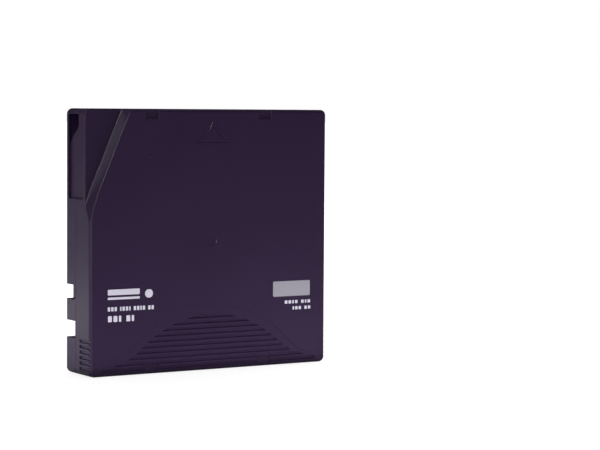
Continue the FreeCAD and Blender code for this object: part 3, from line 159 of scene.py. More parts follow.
class Graph:
    """Node tree of one material or world."""

    def __init__(self, tree: bpy.types.NodeTree) -> None:
        """Empty the tree and keep it."""
        tree.nodes.clear()
        self.tree = tree

    def add(self, kind: str, settings: Optional[dict] = None,
            sockets: Optional[dict] = None) -> bpy.types.Node:
        """Add a node.

        Args:
            kind: the node's type.
            settings: attributes of the node, which are set first.
            sockets: values or links by socket name or number.

        Returns:
            The node.
        """
        made = self.tree.nodes.new(kind)
        for name, value in (settings or {}).items():
            setattr(made, name, value)
        for name, value in (sockets or {}).items():
            self.feed(made.inputs[name], value)
        return made

    def node(self, kind: str, settings: Optional[dict] = None, sockets: Optional[dict] = None,
             output: Union[int, str] = 0) -> Wire:
        """Add a node and take one of its outputs.

        Args:
            kind: the node's type.
            settings: attributes of the node, which are set first.
            sockets: values or links by socket name or number.
            output: name or number of the output.

        Returns:
            The chosen output.
        """
        return Wire(self, self.add(kind, settings, sockets).outputs[output])

    def feed(self, socket: bpy.types.NodeSocket, value: Value) -> None:
        """Give a socket a value or a link.

        Args:
            socket: the input that takes it.
            value: wire, number or tuple; a colour without alpha gets an alpha of 1.
        """
        if isinstance(value, Wire):
            self.tree.links.new(value.socket, socket)
        elif isinstance(value, (int, float)):
            socket.default_value = value
        elif len(value) == 3 and len(socket.default_value) == 4:
            socket.default_value = (*value, 1.0)
        else:
            socket.default_value = tuple(value)

    def place(self, scale: Sequence[float] = (1.0, 1.0, 1.0),
              centre: Sequence[float] = (0.0, 0.0, 0.0)) -> Wire:
        """Object coordinates in millimetres, centred and stretched.

        Args:
            scale: factor on each axis.
            centre: point in millimetres that becomes the origin.

        Returns:
            The mapped vector.
        """
        source = self.node("ShaderNodeTexCoord", output="Object")
        enlarged = self.node("ShaderNodeVectorMath", {"operation": "SCALE"}, {0: source, "Scale": 1 / MM})
        centred = self.node("ShaderNodeVectorMath", {"operation": "SUBTRACT"}, {0: enlarged, 1: centre})
        return self.node("ShaderNodeMapping", {"vector_type": "POINT"}, {"Vector": centred, "Scale": scale})

    def axes(self, vector: Wire) -> tuple[Wire, Wire, Wire]:
        """Split a vector.

        Args:
            vector: the vector to split.

        Returns:
            Its three components.
        """
        made = self.add("ShaderNodeSeparateXYZ", {}, {0: vector})
        return Wire(self, made.outputs[0]), Wire(self, made.outputs[1]), Wire(self, made.outputs[2])

    def noise(self, vector: Wire, scale: float, detail: float, roughness: float) -> Wire:
        """Smooth noise from 0 to 1.

        Args:
            vector: place in millimetres.
            scale: cells per millimetre.
            detail: octaves.
            roughness: strength of the finer octaves.

        Returns:
            The noise value.
        """
        return self.node("ShaderNodeTexNoise", {"noise_dimensions": "3D"},
                         {"Vector": vector, "Scale": scale, "Detail": detail, "Roughness": roughness})

    def line_noise(self, along: Wire, scale: float, detail: float, roughness: float) -> Wire:
        """Smooth noise from 0 to 1 that varies with one value.

        Args:
            along: the value, in millimetres.
            scale: cells per millimetre.
            detail: octaves.
            roughness: strength of the finer octaves.

        Returns:
            The noise value.
        """
        return self.node("ShaderNodeTexNoise", {"noise_dimensions": "1D"},
                         {"W": along, "Scale": scale, "Detail": detail, "Roughness": roughness})

    def blend(self, share: Value, low: Value, high: Value) -> Wire:
        """Mix two colours.

        Args:
            share: 0 gives the first colour and 1 the second.
            low: first colour.
            high: second colour.

        Returns:
            The mixed colour.
        """
        factor, first, second, mixed = 0, 6, 7, 2  # numbers of the colour sockets of a Mix node
        return self.node("ShaderNodeMix", {"data_type": "RGBA"},
                         {factor: share, first: low, second: high}, mixed)

    def relief(self, height: Value, depth: float, edge: float = 0.0) -> Wire:
        """Surface normal bent by a height.

        Args:
            height: height field from 0 to 1.
            depth: height of 1, in millimetres.
            edge: radius in millimetres at which sharp edges look broken, or 0.

        Returns:
            The bent normal.
        """
        sockets: dict = {"Height": height, "Distance": depth * MM, "Strength": 1.0}
        if edge:
            sockets["Normal"] = self.node("ShaderNodeBevel", {"samples": 4}, {"Radius": edge * MM})
        return self.node("ShaderNodeBump", {}, sockets)

    def surface(self, colour: Value, roughness: Value, normal: Value, specular: float = 0.5,
                metallic: float = 0.0) -> None:
        """Close a material's graph with its surface shader.

        Args:
            colour: base colour.
            roughness: roughness.
            normal: bent normal.
            specular: uniform specular level.
            metallic: 1 for bare metal.
        """
        sockets = {"Base Color": colour, "Roughness": roughness, "Normal": normal,
                   "Specular IOR Level": specular, "Metallic": metallic}
        shader = self.node("ShaderNodeBsdfPrincipled", {}, sockets)
        self.add("ShaderNodeOutputMaterial", {}, {"Surface": shader})


def new_material(name: str) -> tuple[bpy.types.Material, Graph]:
    """Start a node material.

    Args:
        name: the material's name.

    Returns:
        The material and its empty graph.
    """
    material = bpy.data.materials.new(name)
    material.use_nodes = True
    return material, Graph(material.node_tree)


# ---------------------------------------------------------------- finishes
@dataclass(frozen=True)
class Finish(ABC):
    """A named finish with one main colour, whose pattern follows Object coordinates."""

    name: str
    colour: Colour

    def shade(self, factor: float) -> Colour:
        """Main colour with each channel times a factor."""
        return tuple(factor * channel for channel in self.colour)

    @abstractmethod
    def material(self) -> bpy.types.Material:
        """Make the material."""


class Grain(Enum):
    """How its tool left a plastic: cells of grain per millimetre, and their depth in millimetres."""

    SPARKED = (5.5, 0.016)
    SATIN = (3.2, 0.006)


@dataclass(frozen=True)
class MouldedPlastic(Finish):
    """Injection-moulded plastic with its tool's grain and faint flow of colour."""

    grain: Grain = Grain.SATIN
    roughness: float = 0.42
    specular: float = 0.5
    edge: float = 0.18  # how far edges look broken, in millimetres

    def material(self) -> bpy.types.Material:
        """Make the material.

        Returns:
            Plastic whose tone drifts slowly under a fine grain.
        """
        material, graph = new_material(self.name)
        place = graph.place()
        cells, depth = self.grain.value
        fine = graph.noise(place, scale=cells, detail=4.0, roughness=0.62)
        broad = graph.noise(place, scale=0.03, detail=2.0, roughness=0.5)
        darker, lighter = self.shade(0.93), self.shade(1.07)
        tone = graph.blend(broad.step(0.35, 0.65), darker, lighter)
        speck = graph.blend(fine.swing(0.16) + 0.5, darker, lighter)
        roughness = self.roughness + fine.swing(0.14) + broad.swing(0.06)
        graph.surface(graph.blend(0.5, tone, speck), roughness,
                      graph.relief(fine, depth, self.edge), specular=self.specular)
        return material


@dataclass(frozen=True)
class Steel(Finish):
    """Bright or zinc-coated steel with fine drawn or turned lines."""

    roughness: float = 0.28
    along: Sequence[float] = (1.0, 0.06, 1.0)  # factor on each axis; the lines run along the smallest

    def material(self) -> bpy.types.Material:
        """Make the material.

        Returns:
            A metal with fine lines and broad faint stains.
        """
        material, graph = new_material(self.name)
        lines = graph.noise(graph.place(self.along), scale=9.0, detail=3.0, roughness=0.6)
        stain = graph.noise(graph.place(), scale=0.4, detail=3.0, roughness=0.55)
        colour = graph.blend(stain.step(0.3, 0.75), self.colour, self.shade(0.82))
        roughness = self.roughness + lines.swing(0.2) + stain.swing(0.1)
        graph.surface(colour, roughness, graph.relief(lines, depth=0.004, edge=0.06), metallic=1.0)
        return material


@dataclass(frozen=True)
class WoundTape(Finish):
    """Edges of wound tape: fine rings about the reel's axis."""

    colour: Colour = (0.030, 0.026, 0.024)

    def material(self) -> bpy.types.Material:
        """Make the material.

        Returns:
            Rings that follow r = sqrt(x^2 + z^2) about the reel's axis.
        """
        material, graph = new_material(self.name)
        x, _, z = graph.axes(graph.place(centre=(0.0, 0.0, REEL_Z)))
        radius = (x * x + z * z) ** 0.5
        rings = graph.line_noise(radius, scale=7.0, detail=4.0, roughness=0.7)
        bands = graph.line_noise(radius, scale=0.35, detail=2.0, roughness=0.5)
        colour = graph.blend(bands.step(0.35, 0.7), self.colour, self.shade(1.8))
        roughness = 0.30 + rings * 0.18 + bands.swing(0.1)
        graph.surface(colour, roughness, graph.relief(rings, depth=0.03), specular=0.55)
        return material


@dataclass(frozen=True)
class TapeFilm(Finish):
    """Smooth coated film with very faint lengthwise scratches."""

    colour: Colour = (0.022, 0.018, 0.016)

    def material(self) -> bpy.types.Material:
        """Make the material.

        Returns:
            A glossy film whose scratches are narrow across Y.
        """
        material, graph = new_material(self.name)
        streaks = graph.noise(graph.place((0.05, 4.0, 0.05)), scale=4.0, detail=3.0, roughness=0.6)
        colour = graph.blend(streaks, self.colour, self.shade(1.5))
        graph.surface(colour, 0.14 + streaks * 0.12, graph.relief(streaks, depth=0.002), specular=0.6)
        return material


@dataclass(frozen=True)
class PadPrint(Finish):
    """Matt pad-printed ink that lets a little of the moulded grain through."""

    colour: Colour = (0.60, 0.575, 0.68)

    def material(self) -> bpy.types.Material:
        """Make the material.

        Returns:
            Ink that is worn where the grain stands high.
        """
        material, graph = new_material(self.name)
        grain = graph.noise(graph.place(), scale=5.5, detail=4.0, roughness=0.62)
        colour = graph.blend(grain.step(0.56, 0.8), self.colour, self.shade(0.72))
        graph.surface(colour, 0.55 + grain.swing(0.15), graph.relief(grain, depth=0.008))
        return material


@dataclass(frozen=True)
class Laminate(Finish):
    """Green solder-masked board with the shadow of a printed coil under the mask."""

    colour: Colour = (0.012, 0.075, 0.03)
    copper: Colour = (0.03, 0.13, 0.05)
    tracks: float = 9.0  # radians of the coil's pattern per millimetre

    def material(self) -> bpy.types.Material:
        """Make the material.

        Returns:
            A board with a copper track wherever sin(tracks y) is high.
        """
        material, graph = new_material(self.name)
        place = graph.place()
        _, y, _ = graph.axes(place)
        track = (y * self.tracks).sine().step(0.2, 0.5)
        weave = graph.noise(place, scale=6.0, detail=2.0, roughness=0.5)
        colour = graph.blend(track, self.colour, self.copper)
        graph.surface(colour, 0.26 + weave * 0.12, graph.relief(track, depth=0.02))
        return material


# ---------------------------------------------------------------- meshes from arrays
@dataclass(frozen=True)
class Skin:
    """Points, (n, 3) in metres, with the quads, (m, 4), and the triangles, (k, 3), between them."""

    points: np.ndarray
    quads: np.ndarray
    triangles: np.ndarray = field(default_factory=lambda: np.zeros((0, 3), int))

    def volume(self) -> float:
        """Volume inside a closed skin, as the sum of a . (b x c) / 6 over its triangles.

        Returns:
            Volume; negative when the faces point inwards.
        """
        corners = np.concatenate([self.quads[:, :3], self.quads[:, [0, 2, 3]], self.triangles])
        a, b, c = (self.points[corners[:, place]] for place in range(3))
        return float(np.einsum("ij,ij->i", a, np.cross(b, c)).sum() / 6)

    def outward(self) -> "Skin":
        """Turn a closed skin the right way round.

        Returns:
            The same skin with its faces outwards.
        """
        order = -1 if self.volume() < 0 else 1
        return Skin(self.points, self.quads[:, ::order], self.triangles[:, ::order])

    def piece(self, name: str, smooth: bool) -> bpy.types.Object:
        """Put the skin into a new object at the origin.

        Args:
            name: the piece's name.
            smooth: whether faces are shaded smooth.

        Returns:
            The linked object.
        """
        mesh = bpy.data.meshes.new(name)
        mesh.from_pydata(self.points.tolist(), [], self.quads.tolist() + self.triangles.tolist())
        mesh.update()
        mesh.polygons.foreach_set("use_smooth", np.full(len(mesh.polygons), smooth))
        made = bpy.data.objects.new(name, mesh)
        bpy.context.scene.collection.objects.link(made)
        return made


def loft(rings: np.ndarray, loop: bool = False) -> Skin:
    """Skin a stack of closed rings.

    Point (i, j) is the j-th point of ring i. Neighbouring rings are joined by quads; an open
    stack gets a fan of triangles at each end, a looped one joins its last ring to its first.

    Args:
        rings: (rows, columns, 3) array in metres.
        loop: whether the last ring joins the first.

    Returns:
        The skin, with its faces outwards.
    """
    rows, columns = rings.shape[:2]
    here = np.arange(columns)
    ahead = (here + 1) % columns
    ring = np.arange(rows if loop else rows - 1)[:, None] * columns
    following = (ring + columns) % (rows * columns)
    quads = np.stack([ring + here, ring + ahead, following + ahead, following + here], -1).reshape(-1, 4)
    points = rings.reshape(-1, 3)
    if loop:
        return Skin(points, quads).outward()
    last = (rows - 1) * columns
    pole = np.full(columns, rows * columns)
    fans = np.concatenate([np.stack([ahead, here, pole], -1),
                           np.stack([last + here, last + ahead, pole + 1], -1)])
    points = np.concatenate([points, rings[0].mean(0)[None], rings[-1].mean(0)[None]])
    return Skin(points, quads, fans).outward()


def together(skins: Sequence[Skin]) -> Skin:
    """Make several skins one.

    Args:
        skins: the skins, which may lie apart.

    Returns:
        One skin with all their points and faces.
    """
    starts = np.cumsum([0] + [len(skin.points) for skin in skins[:-1]])
    return Skin(np.concatenate([skin.points for skin in skins]),
                np.concatenate([skin.quads + start for skin, start in zip(skins, starts)]),
                np.concatenate([skin.triangles + start for skin, start in zip(skins, starts)]))


def dress(piece: bpy.types.Object, material: bpy.types.Material) -> None:
    """Give every material slot of a piece one material.

    Args:
        piece: a CAD node's object or a new piece.
        material: the material.
    """
    if not piece.material_slots:
        piece.data.materials.append(material)
    for slot in piece.material_slots:
        slot.material = material


# ---------------------------------------------------------------- sub-assemblies
REEL_WHITE: Colour = (0.60, 0.59, 0.56)
ZINC: Colour = (0.50, 0.49, 0.46)
CASE_PLASTIC = MouldedPlastic("case_cover_plastic", (0.0220, 0.0086, 0.0390), Grain.SPARKED,
                              roughness=0.36, specular=0.23, edge=0.3)


@dataclass
class SolidGroup:
    """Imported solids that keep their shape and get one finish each."""

    nodes: dict[str, bpy.types.Object]
    finishes: dict[str, Finish]

    def build(self) -> list[bpy.types.Object]:
        """Dress the solids.

        Returns:
            The solids' objects.
        """
        for name, finish in self.finishes.items():
            dress(self.nodes[name], finish.material())
        return [self.nodes[name] for name in self.finishes]


@dataclass
class Case(SolidGroup):
    """The two moulded halves, their screws and the small pieces that sit in them."""

    finishes: dict[str, Finish] = field(default_factory=lambda: {
        "upper_shell": CASE_PLASTIC,
        "lower_shell": replace(CASE_PLASTIC, name="case_base_plastic"),
        "case_screws": Steel("screw_steel", ZINC, roughness=0.32),
        "write_protect_tab": MouldedPlastic("tab_plastic", (0.42, 0.045, 0.03), roughness=0.4),
        "door": replace(CASE_PLASTIC, name="door_plastic"),
        "memory_board": Laminate("board_laminate"),
        "memory_chip": MouldedPlastic("chip_resin", (0.01, 0.01, 0.011), roughness=0.5),
    })


@dataclass
class Reel(SolidGroup):
    """Hub, upper flange, release pad, brake and reel plate."""

    finishes: dict[str, Finish] = field(default_factory=lambda: {
        "reel_hub": MouldedPlastic("hub_plastic", REEL_WHITE, roughness=0.42),
        "upper_flange": MouldedPlastic("flange_plastic", REEL_WHITE, roughness=0.40),
        "release_pad": MouldedPlastic("pad_plastic", (0.68, 0.67, 0.63), roughness=0.38),
        "brake": MouldedPlastic("brake_plastic", (0.62, 0.60, 0.54), roughness=0.42),
        "reel_plate": Steel("plate_steel", (0.58, 0.58, 0.57), roughness=0.3),
    })


@dataclass
class LeaderPin(SolidGroup):
    """Pin, keeper spring, clip and the run of tape that they hold."""

    finishes: dict[str, Finish] = field(default_factory=lambda: {
        "leader_pin": Steel("pin_steel", (0.60, 0.60, 0.60), roughness=0.16),
        "pin_spring": Steel("spring_steel", (0.52, 0.52, 0.52), roughness=0.24),
        "tape_clip": MouldedPlastic("clip_plastic", (0.05, 0.05, 0.05), roughness=0.4),
        "tape_lead": TapeFilm("tape_film"),
    })


@dataclass
class CoilSpring:
    """Round-wire compression spring with closed ends, made as a tube along a helix."""

    node: str
    body: str
    joint: str
    radius: float
    wire: float
    turns: int
    start: Vector
    axis: Vector
    length: float
    travel: float
    fixed_end: Vector
    closed_rise: float = 1.04  # rise of a closed end turn, in wire diameters
    sides: int = 10
    steps_per_turn: int = 28

    def centre_line(self) -> tuple[np.ndarray, np.ndarray, np.ndarray]:
        """Helix with closed turns at both ends.

        With u from 0 to 1 and the angle t = 2 pi n u, the point is
        start + axis * (w/2 + (L - w) s(u)) + R (cos t, sin t), where s(u) stays nearly level
        over the closed end turns and is straight between them.

        Returns:
            Points, tangents and outward radial directions, each (m, 3).
        """
        share = np.linspace(0.0, 1.0, self.turns * self.steps_per_turn + 1)
        closed = 1.0 / self.turns
        level = self.wire * self.closed_rise / (self.length - self.wire)
        rise = np.interp(share, [0.0, closed, 1.0 - closed, 1.0], [0.0, level, 1.0 - level, 1.0])
        angle = 2 * math.pi * self.turns * share
        side = self.axis.orthogonal().normalized()
        first, second, up = (np.array(vector) for vector in (side, self.axis.cross(side), self.axis))
        radial = np.cos(angle)[:, None] * first + np.sin(angle)[:, None] * second
        along = self.wire / 2 + (self.length - self.wire) * rise
        points = np.array(self.start) + radial * self.radius + along[:, None] * up
        tangents = np.gradient(points, axis=0)
        tangents /= np.linalg.norm(tangents, axis=1)[:, None]
        return points, tangents, radial

    def build(self, material: bpy.types.Material) -> bpy.types.Object:
        """Sweep the wire, p + w/2 (radial cos a + upward sin a), and fix it to its body in place of its
        solid.

        Args:
            material: the wire's finish.

        Returns:
            The spring.
        """
        points, tangents, radial = self.centre_line()
        upward = np.cross(tangents, radial)
        turn = np.linspace(0.0, 2 * math.pi, self.sides, endpoint=False)
        rings = (points[:, None] + self.wire / 2 * (np.cos(turn)[None, :, None] * radial[:, None]
                                                    + np.sin(turn)[None, :, None] * upward[:, None]))
        spring = loft(rings).piece(self.node + "_round_wire", smooth=True)
        dress(spring, material)
        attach(spring, self.body)
        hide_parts(self.node)
        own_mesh(spring)
        return spring


@dataclass
class Springs:
    """The two coil springs: one closes the door and the other presses the brake down."""

    finish: Steel = Steel("coil_steel", (0.5, 0.5, 0.49), roughness=0.26)
    door_wire: float = 0.36 * MM
    door_turns: int = 22
    door_travel: float = 21.5 * MM
    brake_radius: float = 9.4 * MM
    brake_wire: float = 0.9 * MM
    brake_turns: int = 5
    brake_travel: float = 2.0 * MM

    def door_spring(self) -> CoilSpring:
        """Door's spring, which stands on its rear end and fills its solid's box.

        Returns:
            The spring, not yet wound.
        """
        low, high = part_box("door_spring")
        return CoilSpring("door_spring", "case", "door_slide", (high.x - low.x) / 2 - self.door_wire / 2,
                          self.door_wire, self.door_turns,
                          start=Vector(((low.x + high.x) / 2, (low.y + high.y) / 2, low.z)),
                          axis=Vector((0, 0, 1)), length=high.z - low.z, travel=self.door_travel,
                          fixed_end=Vector((0, 0, low.z)))

    def brake_spring(self) -> CoilSpring:
        """Brake's spring, which runs about the reel's axis and stands on the cover.

        Returns:
            The spring, not yet wound.
        """
        low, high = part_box("brake_spring")
        return CoilSpring("brake_spring", "case", "brake_lift", self.brake_radius,
                          self.brake_wire, self.brake_turns,
                          start=Vector((0, high.y, REEL_Z * MM)),
                          axis=Vector((0, -1, 0)), length=high.y - low.y, travel=self.brake_travel,
                          fixed_end=Vector((0, low.y, REEL_Z * MM)))

    def build(self) -> list[bpy.types.Object]:
        """Wind both springs from one steel.

        Returns:
            The two springs.
        """
        steel = self.finish.material()
        return [spring.build(steel) for spring in (self.door_spring(), self.brake_spring())]


@dataclass
class TapePack:
    """Wound tape between the flanges, whose turns stand a little uneven at their edges."""

    inner: float = 22.0 * MM
    ripples: Sequence[tuple[float, float]] = ((0.03, 2.3), (0.02, 1.1))  # depth and width, millimetres
    samples: int = 140
    sides: int = 112

    def unevenness(self, radius: np.ndarray) -> np.ndarray:
        """How far a turn's edge lies inside the widest one: the sum of d |sin(pi r / w)|.

        Args:
            radius: radii in metres.

        Returns:
            Depths in metres.
        """
        return sum(depth * np.abs(np.sin(math.pi * radius / (width * MM)))
                   for depth, width in self.ripples) * MM

    def build(self) -> list[bpy.types.Object]:
        """Turn the pack's section about the reel's axis: x = r sin t, z = r cos t.

        Returns:
            The pack.
        """
        low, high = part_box("tape_pack")
        radius = np.linspace(self.inner, (high.x - low.x) / 2, self.samples)
        depth = self.unevenness(radius)
        section_r = np.concatenate([radius, radius[::-1]])
        section_y = np.concatenate([low.y + depth, (high.y - depth)[::-1]])
        turn = np.linspace(0.0, 2 * math.pi, self.sides, endpoint=False)
        rings = np.stack([section_r[:, None] * np.sin(turn),
                          np.repeat(section_y[:, None], self.sides, axis=1),
                          REEL_Z * MM + section_r[:, None] * np.cos(turn)], -1)
        pack = loft(rings, loop=True).piece("wound_tape", smooth=False)
        dress(pack, WoundTape("tape_edge").material())
        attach(pack, "reel")
        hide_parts("tape_pack")
        return [pack]


@dataclass
class ScrewThreads:
    """Raised threads on the shanks of the four case screws; sizes are in millimetres."""

    places: Sequence[tuple[float, float]] = ((-46.5, 7.0), (46.5, 7.0), (46.5, 95.0), (-31.5, 97.3))
    root: float = 1.0
    crest: float = 1.27
    sunk: float = 0.05  # how far the ridge's foot is sunk in the shank
    pitch: float = 0.8
    foot_half: float = 0.3  # half widths of the ridge's foot and crest, as shares of the pitch
    crest_half: float = 0.04
    run_out: float = 0.05  # share of the ridge's height that is left at its ends
    end_gap: float = 0.3
    head: float = 1.3
    steps_per_turn: int = 24
    finish: Steel = Steel("thread_steel", ZINC, roughness=0.36)

    def thread(self, x: float, z: float, start: float, length: float) -> Skin:
        """One ridge: angle t = 2 pi s / pitch, and a crest that eases out over a turn at either end.

        Args:
            x: the screw's X in millimetres.
            z: the screw's Z in millimetres.
            start: Y of the thread's low end in millimetres.
            length: the thread's length in millimetres.

        Returns:
            The ridge.
        """
        along = np.linspace(0.0, length, int(length / self.pitch * self.steps_per_turn))
        turn = 2 * math.pi * along / self.pitch
        ease = np.clip(np.minimum(along, length - along) / self.pitch, self.run_out, 1.0)
        crest = self.root + (self.crest - self.root) * ease
        foot = self.root - self.sunk
        corners = ((foot, -self.foot_half), (crest, -self.crest_half),
                   (crest, self.crest_half), (foot, self.foot_half))
        rings = np.stack([np.stack([x + radius * np.cos(turn), start + along + rise * self.pitch,
                                    z + radius * np.sin(turn)], -1) for radius, rise in corners], 1)
        return loft(rings * MM)

    def build(self) -> list[bpy.types.Object]:
        """Lay a ridge on every shank.

        Returns:
            The four ridges as one piece.
        """
        low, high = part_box("case_screws")
        start = low.y / MM + self.end_gap
        length = high.y / MM - self.head - self.end_gap - start
        ridges = together([self.thread(x, z, start, length) for x, z in self.places])
        threads = ridges.piece("screw_threads", smooth=False)
        dress(threads, self.finish.material())
        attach(threads, "case")
        return [threads]


@dataclass(frozen=True)
class Patch:
    """Rectangle on the cover with rounded corners, in millimetres of X and Z."""

    left: float
    right: float
    low: float
    high: float
    corner: float = 0.0


class Block(Enum):
    """A letter in the rhythm of a printed row."""

    WIDE = "w"
    NARROW = "n"
    SPACE = " "

    def share(self) -> float:
        """Width, as a share of a wide block."""
        return {Block.WIDE: 1.0, Block.NARROW: 0.6, Block.SPACE: 0.5}[self]


@dataclass
class PrintedMarks:
    """Generic pale ink on the cover: plain fields, and rows of small blocks in place of words.

    Sizes are in millimetres, except face_y, the cover's outer face. A row is the area that it
    fills from end to end, and its rhythm of blocks.
    """

    face_y: float
    ink: PadPrint = PadPrint("pad_print")
    field_tone: float = 0.5  # of the right field's ink, as a share of the other ink
    film: float = 0.02  # height above the face, and depth sunk in it
    shoulder: float = 0.6  # share of that height at which the edge starts to slope in
    top_share: float = 0.985
    outline_points: int = 24
    gap_share: float = 0.42  # gap between two blocks, as a share of a wide block
    corner_share: float = 0.2  # corner radius, as a share of a block's shorter side
    left_fields: Sequence[Patch] = (Patch(-45.3, -31.7, 31.1, 33.3, 0.4),
                                    Patch(-45.3, -31.7, 29.4, 30.3, 0.2),
                                    Patch(-29.4, -26.0, 29.6, 32.8, 1.55))
    right_field: Patch = Patch(28.0, 45.3, 27.4, 33.5, 0.5)
    left_rows: Sequence[tuple[Patch, str]] = ((Patch(-45.3, -25.6, 25.0, 26.6), "www nwwn wwnw ww"),
                                              (Patch(-45.2, -34.1, 20.9, 23.2), "wwn wn"))
    right_rows: Sequence[tuple[Patch, str]] = ((Patch(33.5, 45.5, 24.4, 25.7), "wwnw wnw"),
                                               (Patch(37.2, 45.6, 21.9, 23.2), "nww ww"))

    def slab(self, patch: Patch) -> Skin:
        """A thin slab of ink, whose outline is sign(h) (half size - r) + r h over headings h.

        Args:
            patch: its outline, with the corner radius r.

        Returns:
            The slab.
        """
        turn = (np.arange(self.outline_points) + 0.5) / self.outline_points * 2 * math.pi
        heading = np.stack([np.cos(turn), np.sin(turn)], -1)
        reach = np.array([patch.right - patch.left, patch.high - patch.low]) / 2 - patch.corner
        outline = np.sign(heading) * reach + heading * patch.corner
        middle = np.array([patch.left + patch.right, patch.low + patch.high]) / 2
        rows = ((self.film, 1.0), (-self.film * self.shoulder, 1.0), (-self.film, self.top_share))
        rings = [np.stack([middle[0] + outline[:, 0] * size,
                           np.full(self.outline_points, self.face_y / MM + rise),
                           middle[1] + outline[:, 1] * size], -1) for rise, size in rows]
        return loft(np.array(rings) * MM)

    def row(self, area: Patch, rhythm: str) -> list[Skin]:
        """A row of small blocks in groups.

        Args:
            area: what the row fills from end to end.
            rhythm: one letter of Block for each block, and for each space between two groups.

        Returns:
            The blocks.
        """
        blocks = [Block(letter) for letter in rhythm]
        shares = sum(block.share() for block in blocks)
        unit = (area.right - area.left) / (shares + self.gap_share * (len(blocks) - 1))
        slabs, start = [], area.left
        for block in blocks:
            width = block.share() * unit
            end = start + width
            if block is not Block.SPACE:
                corner = min(width, area.high - area.low) * self.corner_share
                slabs.append(self.slab(Patch(start, end, area.low, area.high, corner)))
            start = end + self.gap_share * unit
        return slabs

    def build(self) -> list[bpy.types.Object]:
        """Lay the ink in three pieces: the marks of either side, and a darker field at the right.

        Returns:
            The three pieces.
        """
        left = [self.slab(patch) for patch in self.left_fields]
        left += [slab for area, rhythm in self.left_rows for slab in self.row(area, rhythm)]
        right = [slab for area, rhythm in self.right_rows for slab in self.row(area, rhythm)]
        field_ink = PadPrint("field_print", self.ink.shade(self.field_tone))
        pieces = []
        for name, slabs, ink in (("print_left_marks", left, self.ink),
                                 ("print_right_marks", right, self.ink),
                                 ("print_right_field", [self.slab(self.right_field)], field_ink)):
            piece = together(slabs).piece(name, smooth=False)
            dress(piece, ink.material())
            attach(piece, "case")
            pieces.append(piece)
        return pieces


# ---------------------------------------------------------------- studio
@dataclass(frozen=True)
class Lamp:
    """Rectangular soft lamp, which gloss may mirror and which may light matt surfaces."""

    name: str
    place: Sequence[float]
    aim: Sequence[float]
    size: Sequence[float]
    power: float
    mirrored: bool = True
    lights: bool = True

    def hang(self) -> bpy.types.Object:
        """Add the lamp to the scene.

        Returns:
            The lamp.
        """
        data = bpy.data.lights.new(self.name, "AREA")
        data.shape = "RECTANGLE"
        data.size, data.size_y = self.size
        data.energy = self.power
        lamp = bpy.data.objects.new(self.name, data)
        lamp.location = self.place
        lamp.rotation_euler = (Vector(self.aim) - Vector(self.place)).to_track_quat("-Z", "Y").to_euler()
        lamp.visible_camera = False
        lamp.visible_glossy = self.mirrored
        lamp.visible_diffuse = self.lights
        bpy.context.scene.collection.objects.link(lamp)
        return lamp


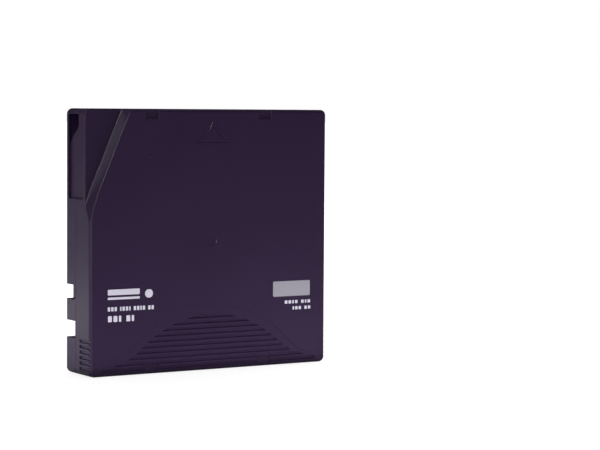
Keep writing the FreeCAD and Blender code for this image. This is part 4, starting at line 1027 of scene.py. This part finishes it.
@dataclass
class Studio:
    """Plain pale floor, white surround, soft lamps and the camera.

    The camera's angles are in degrees, and its lens and sensor in millimetres.
    """

    location: Sequence[float] = (-0.3841, -0.6910, 0.1023)
    heading: float = 31.969
    dip: float = 3.318
    roll: float = 0.393
    lens: float = 120.062
    sensor: float = 36.0
    floor_reach: float = 12.0
    floor_drop: float = 0.05 * MM  # keeps the floor off the cartridge's lowest faces
    floor_grey: float = 0.80
    floor_glow: float = 1.6
    floor_fade: tuple[float, float] = (70.0, 330.0)  # millimetres from the origin
    fill: float = 0.30
    gloss_front: float = 0.05
    gloss_behind: float = 0.1
    gloss_rise: tuple[float, float] = (-0.2, 0.7)  # between these Y of a direction
    lamps: Sequence[Lamp] = (
        Lamp("top_softbox", (0.0, -0.1, 1.3), (0.0, 0.0, 0.05), (1.2, 1.2), 3.0),
        Lamp("front_left_softbox", (-0.80, -0.90, 0.45), (0.0, 0.0, 0.04), (0.35, 0.35), 1.6),
        Lamp("left_softbox", (-1.15, -0.12, 0.36), (0.0, 0.0, 0.07), (0.4, 0.4), 1.1),
        Lamp("edge_glint", (-0.88, -0.70, 0.60), (0.0, 0.0, 0.07), (0.34, 0.34), 38.0, lights=False),
        Lamp("front_bounce", (0.12, -0.10, 0.004), (0.03, -0.01, 0.03), (0.12, 0.03), 0.055, mirrored=False),
        Lamp("floor_bounce", (0.02, -0.07, 0.002), (0.02, -0.07, 1.0), (0.16, 0.09), 0.04, mirrored=False),
        Lamp("foot_bounce", (0.0, -0.023, 0.001), (0.0, -0.023, 1.0), (0.11, 0.02), 0.013, mirrored=False),
        Lamp("left_bounce", (-0.094, 0.06, 0.002), (-0.094, 0.06, 1.0), (0.08, 0.26), 0.12, mirrored=False),
        Lamp("left_strip", (-0.15, 0.10, 0.004), (-0.05, 0.02, 0.03), (0.20, 0.02), 0.019),
        Lamp("back_softbox", (0.5, 1.1, 0.5), (0.0, 0.0, 0.05), (0.8, 0.8), 9.0, mirrored=False),
        Lamp("right_softbox", (1.1, 0.35, 0.5), (0.0, 0.0, 0.05), (0.8, 0.8), 7.0, mirrored=False),
    )

    def camera(self) -> bpy.types.Object:
        """Place the camera: it looks along (sin h cos d, cos h cos d, -sin d) and rolls by r.

        Returns:
            The camera.
        """
        heading, dip, roll = (math.radians(angle) for angle in (self.heading, self.dip, self.roll))
        ahead = Vector((math.sin(heading) * math.cos(dip), math.cos(heading) * math.cos(dip), -math.sin(dip)))
        level = Vector((math.cos(heading), -math.sin(heading), 0.0))
        steep = level.cross(ahead)
        right = level * math.cos(roll) + steep * math.sin(roll)
        up = steep * math.cos(roll) - level * math.sin(roll)
        data = bpy.data.cameras.new("camera")
        data.sensor_width = self.sensor
        data.lens = self.lens
        data.clip_start = 0.01
        data.clip_end = 100.0
        camera = bpy.data.objects.new("camera", data)
        turned = Matrix((right, up, -ahead)).transposed().to_4x4()
        camera.matrix_world = Matrix.Translation(self.location) @ turned
        bpy.context.scene.collection.objects.link(camera)
        bpy.context.scene.camera = camera
        return camera

    def floor(self) -> bpy.types.Object:
        """Lay a wide pale floor that fades to white away from the object, whose shadow it keeps.

        Returns:
            The floor.
        """
        corners = np.array([[-1, -1], [1, -1], [1, 1], [-1, 1]]) * self.floor_reach
        points = np.column_stack([corners, np.full(4, -self.floor_drop)])
        floor = Skin(points, np.array([[0, 1, 2, 3]])).piece("floor", smooth=False)
        material, graph = new_material("floor_paper")
        seen = graph.node("ShaderNodeLightPath", output="Is Camera Ray")
        x, y, _ = graph.axes(graph.place())
        away = ((x * x + y * y) ** 0.5).step(*self.floor_fade)
        paper = graph.node("ShaderNodeBsdfDiffuse", {}, {"Color": (self.floor_grey,) * 3})
        white = graph.node("ShaderNodeEmission", {}, {"Color": (1.0, 1.0, 1.0), "Strength": self.floor_glow})
        shader = graph.node("ShaderNodeMixShader", {}, {0: seen * (0.5 + 0.5 * away), 1: paper, 2: white})
        graph.add("ShaderNodeOutputMaterial", {}, {"Surface": shader})
        dress(floor, material)
        return floor

    def world(self) -> None:
        """White surround for the camera, a dimmer one for gloss and glass, and another as fill light."""
        world = bpy.data.worlds.new("surround")
        bpy.context.scene.world = world
        world.use_nodes = True
        graph = Graph(world.node_tree)
        seen = graph.node("ShaderNodeLightPath", output="Is Camera Ray")
        glossy = graph.node("ShaderNodeLightPath", output="Is Glossy Ray")
        through = graph.node("ShaderNodeLightPath", output="Is Transmission Ray")
        _, y, _ = graph.axes(graph.node("ShaderNodeTexCoord", output="Generated"))
        gloss = self.gloss_front + y.step(*self.gloss_rise) * (self.gloss_behind - self.gloss_front)
        mirrored = glossy.most(through)
        strength = seen + (1.0 - seen) * (mirrored * gloss + (1.0 - mirrored) * self.fill)
        shader = graph.node("ShaderNodeBackground", {}, {"Color": (1.0, 1.0, 1.0), "Strength": strength})
        graph.add("ShaderNodeOutputWorld", {}, {"Surface": shader})

    def build(self) -> list[bpy.types.Object]:
        """Set the whole studio.

        Returns:
            The camera, the floor and the lamps.
        """
        pieces = [self.camera(), self.floor()]
        self.world()
        pieces += [lamp.hang() for lamp in self.lamps]
        bpy.context.scene.view_settings.view_transform = "Standard"
        return pieces


def main() -> None:
    """Load the frame, build each sub-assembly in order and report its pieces."""
    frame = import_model()
    nodes = frame["nodes"]
    cover_face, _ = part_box("upper_shell")
    for assembly in (Studio(), Case(nodes), Reel(nodes), LeaderPin(nodes), Springs(), TapePack(),
                     ScrewThreads(), PrintedMarks(cover_face.y)):
        for piece in assembly.build():
            LOG.info("%s: %s", type(assembly).__name__, piece.name)


if __name__ == "__main__":
    logging.basicConfig(level=logging.INFO)
    main()
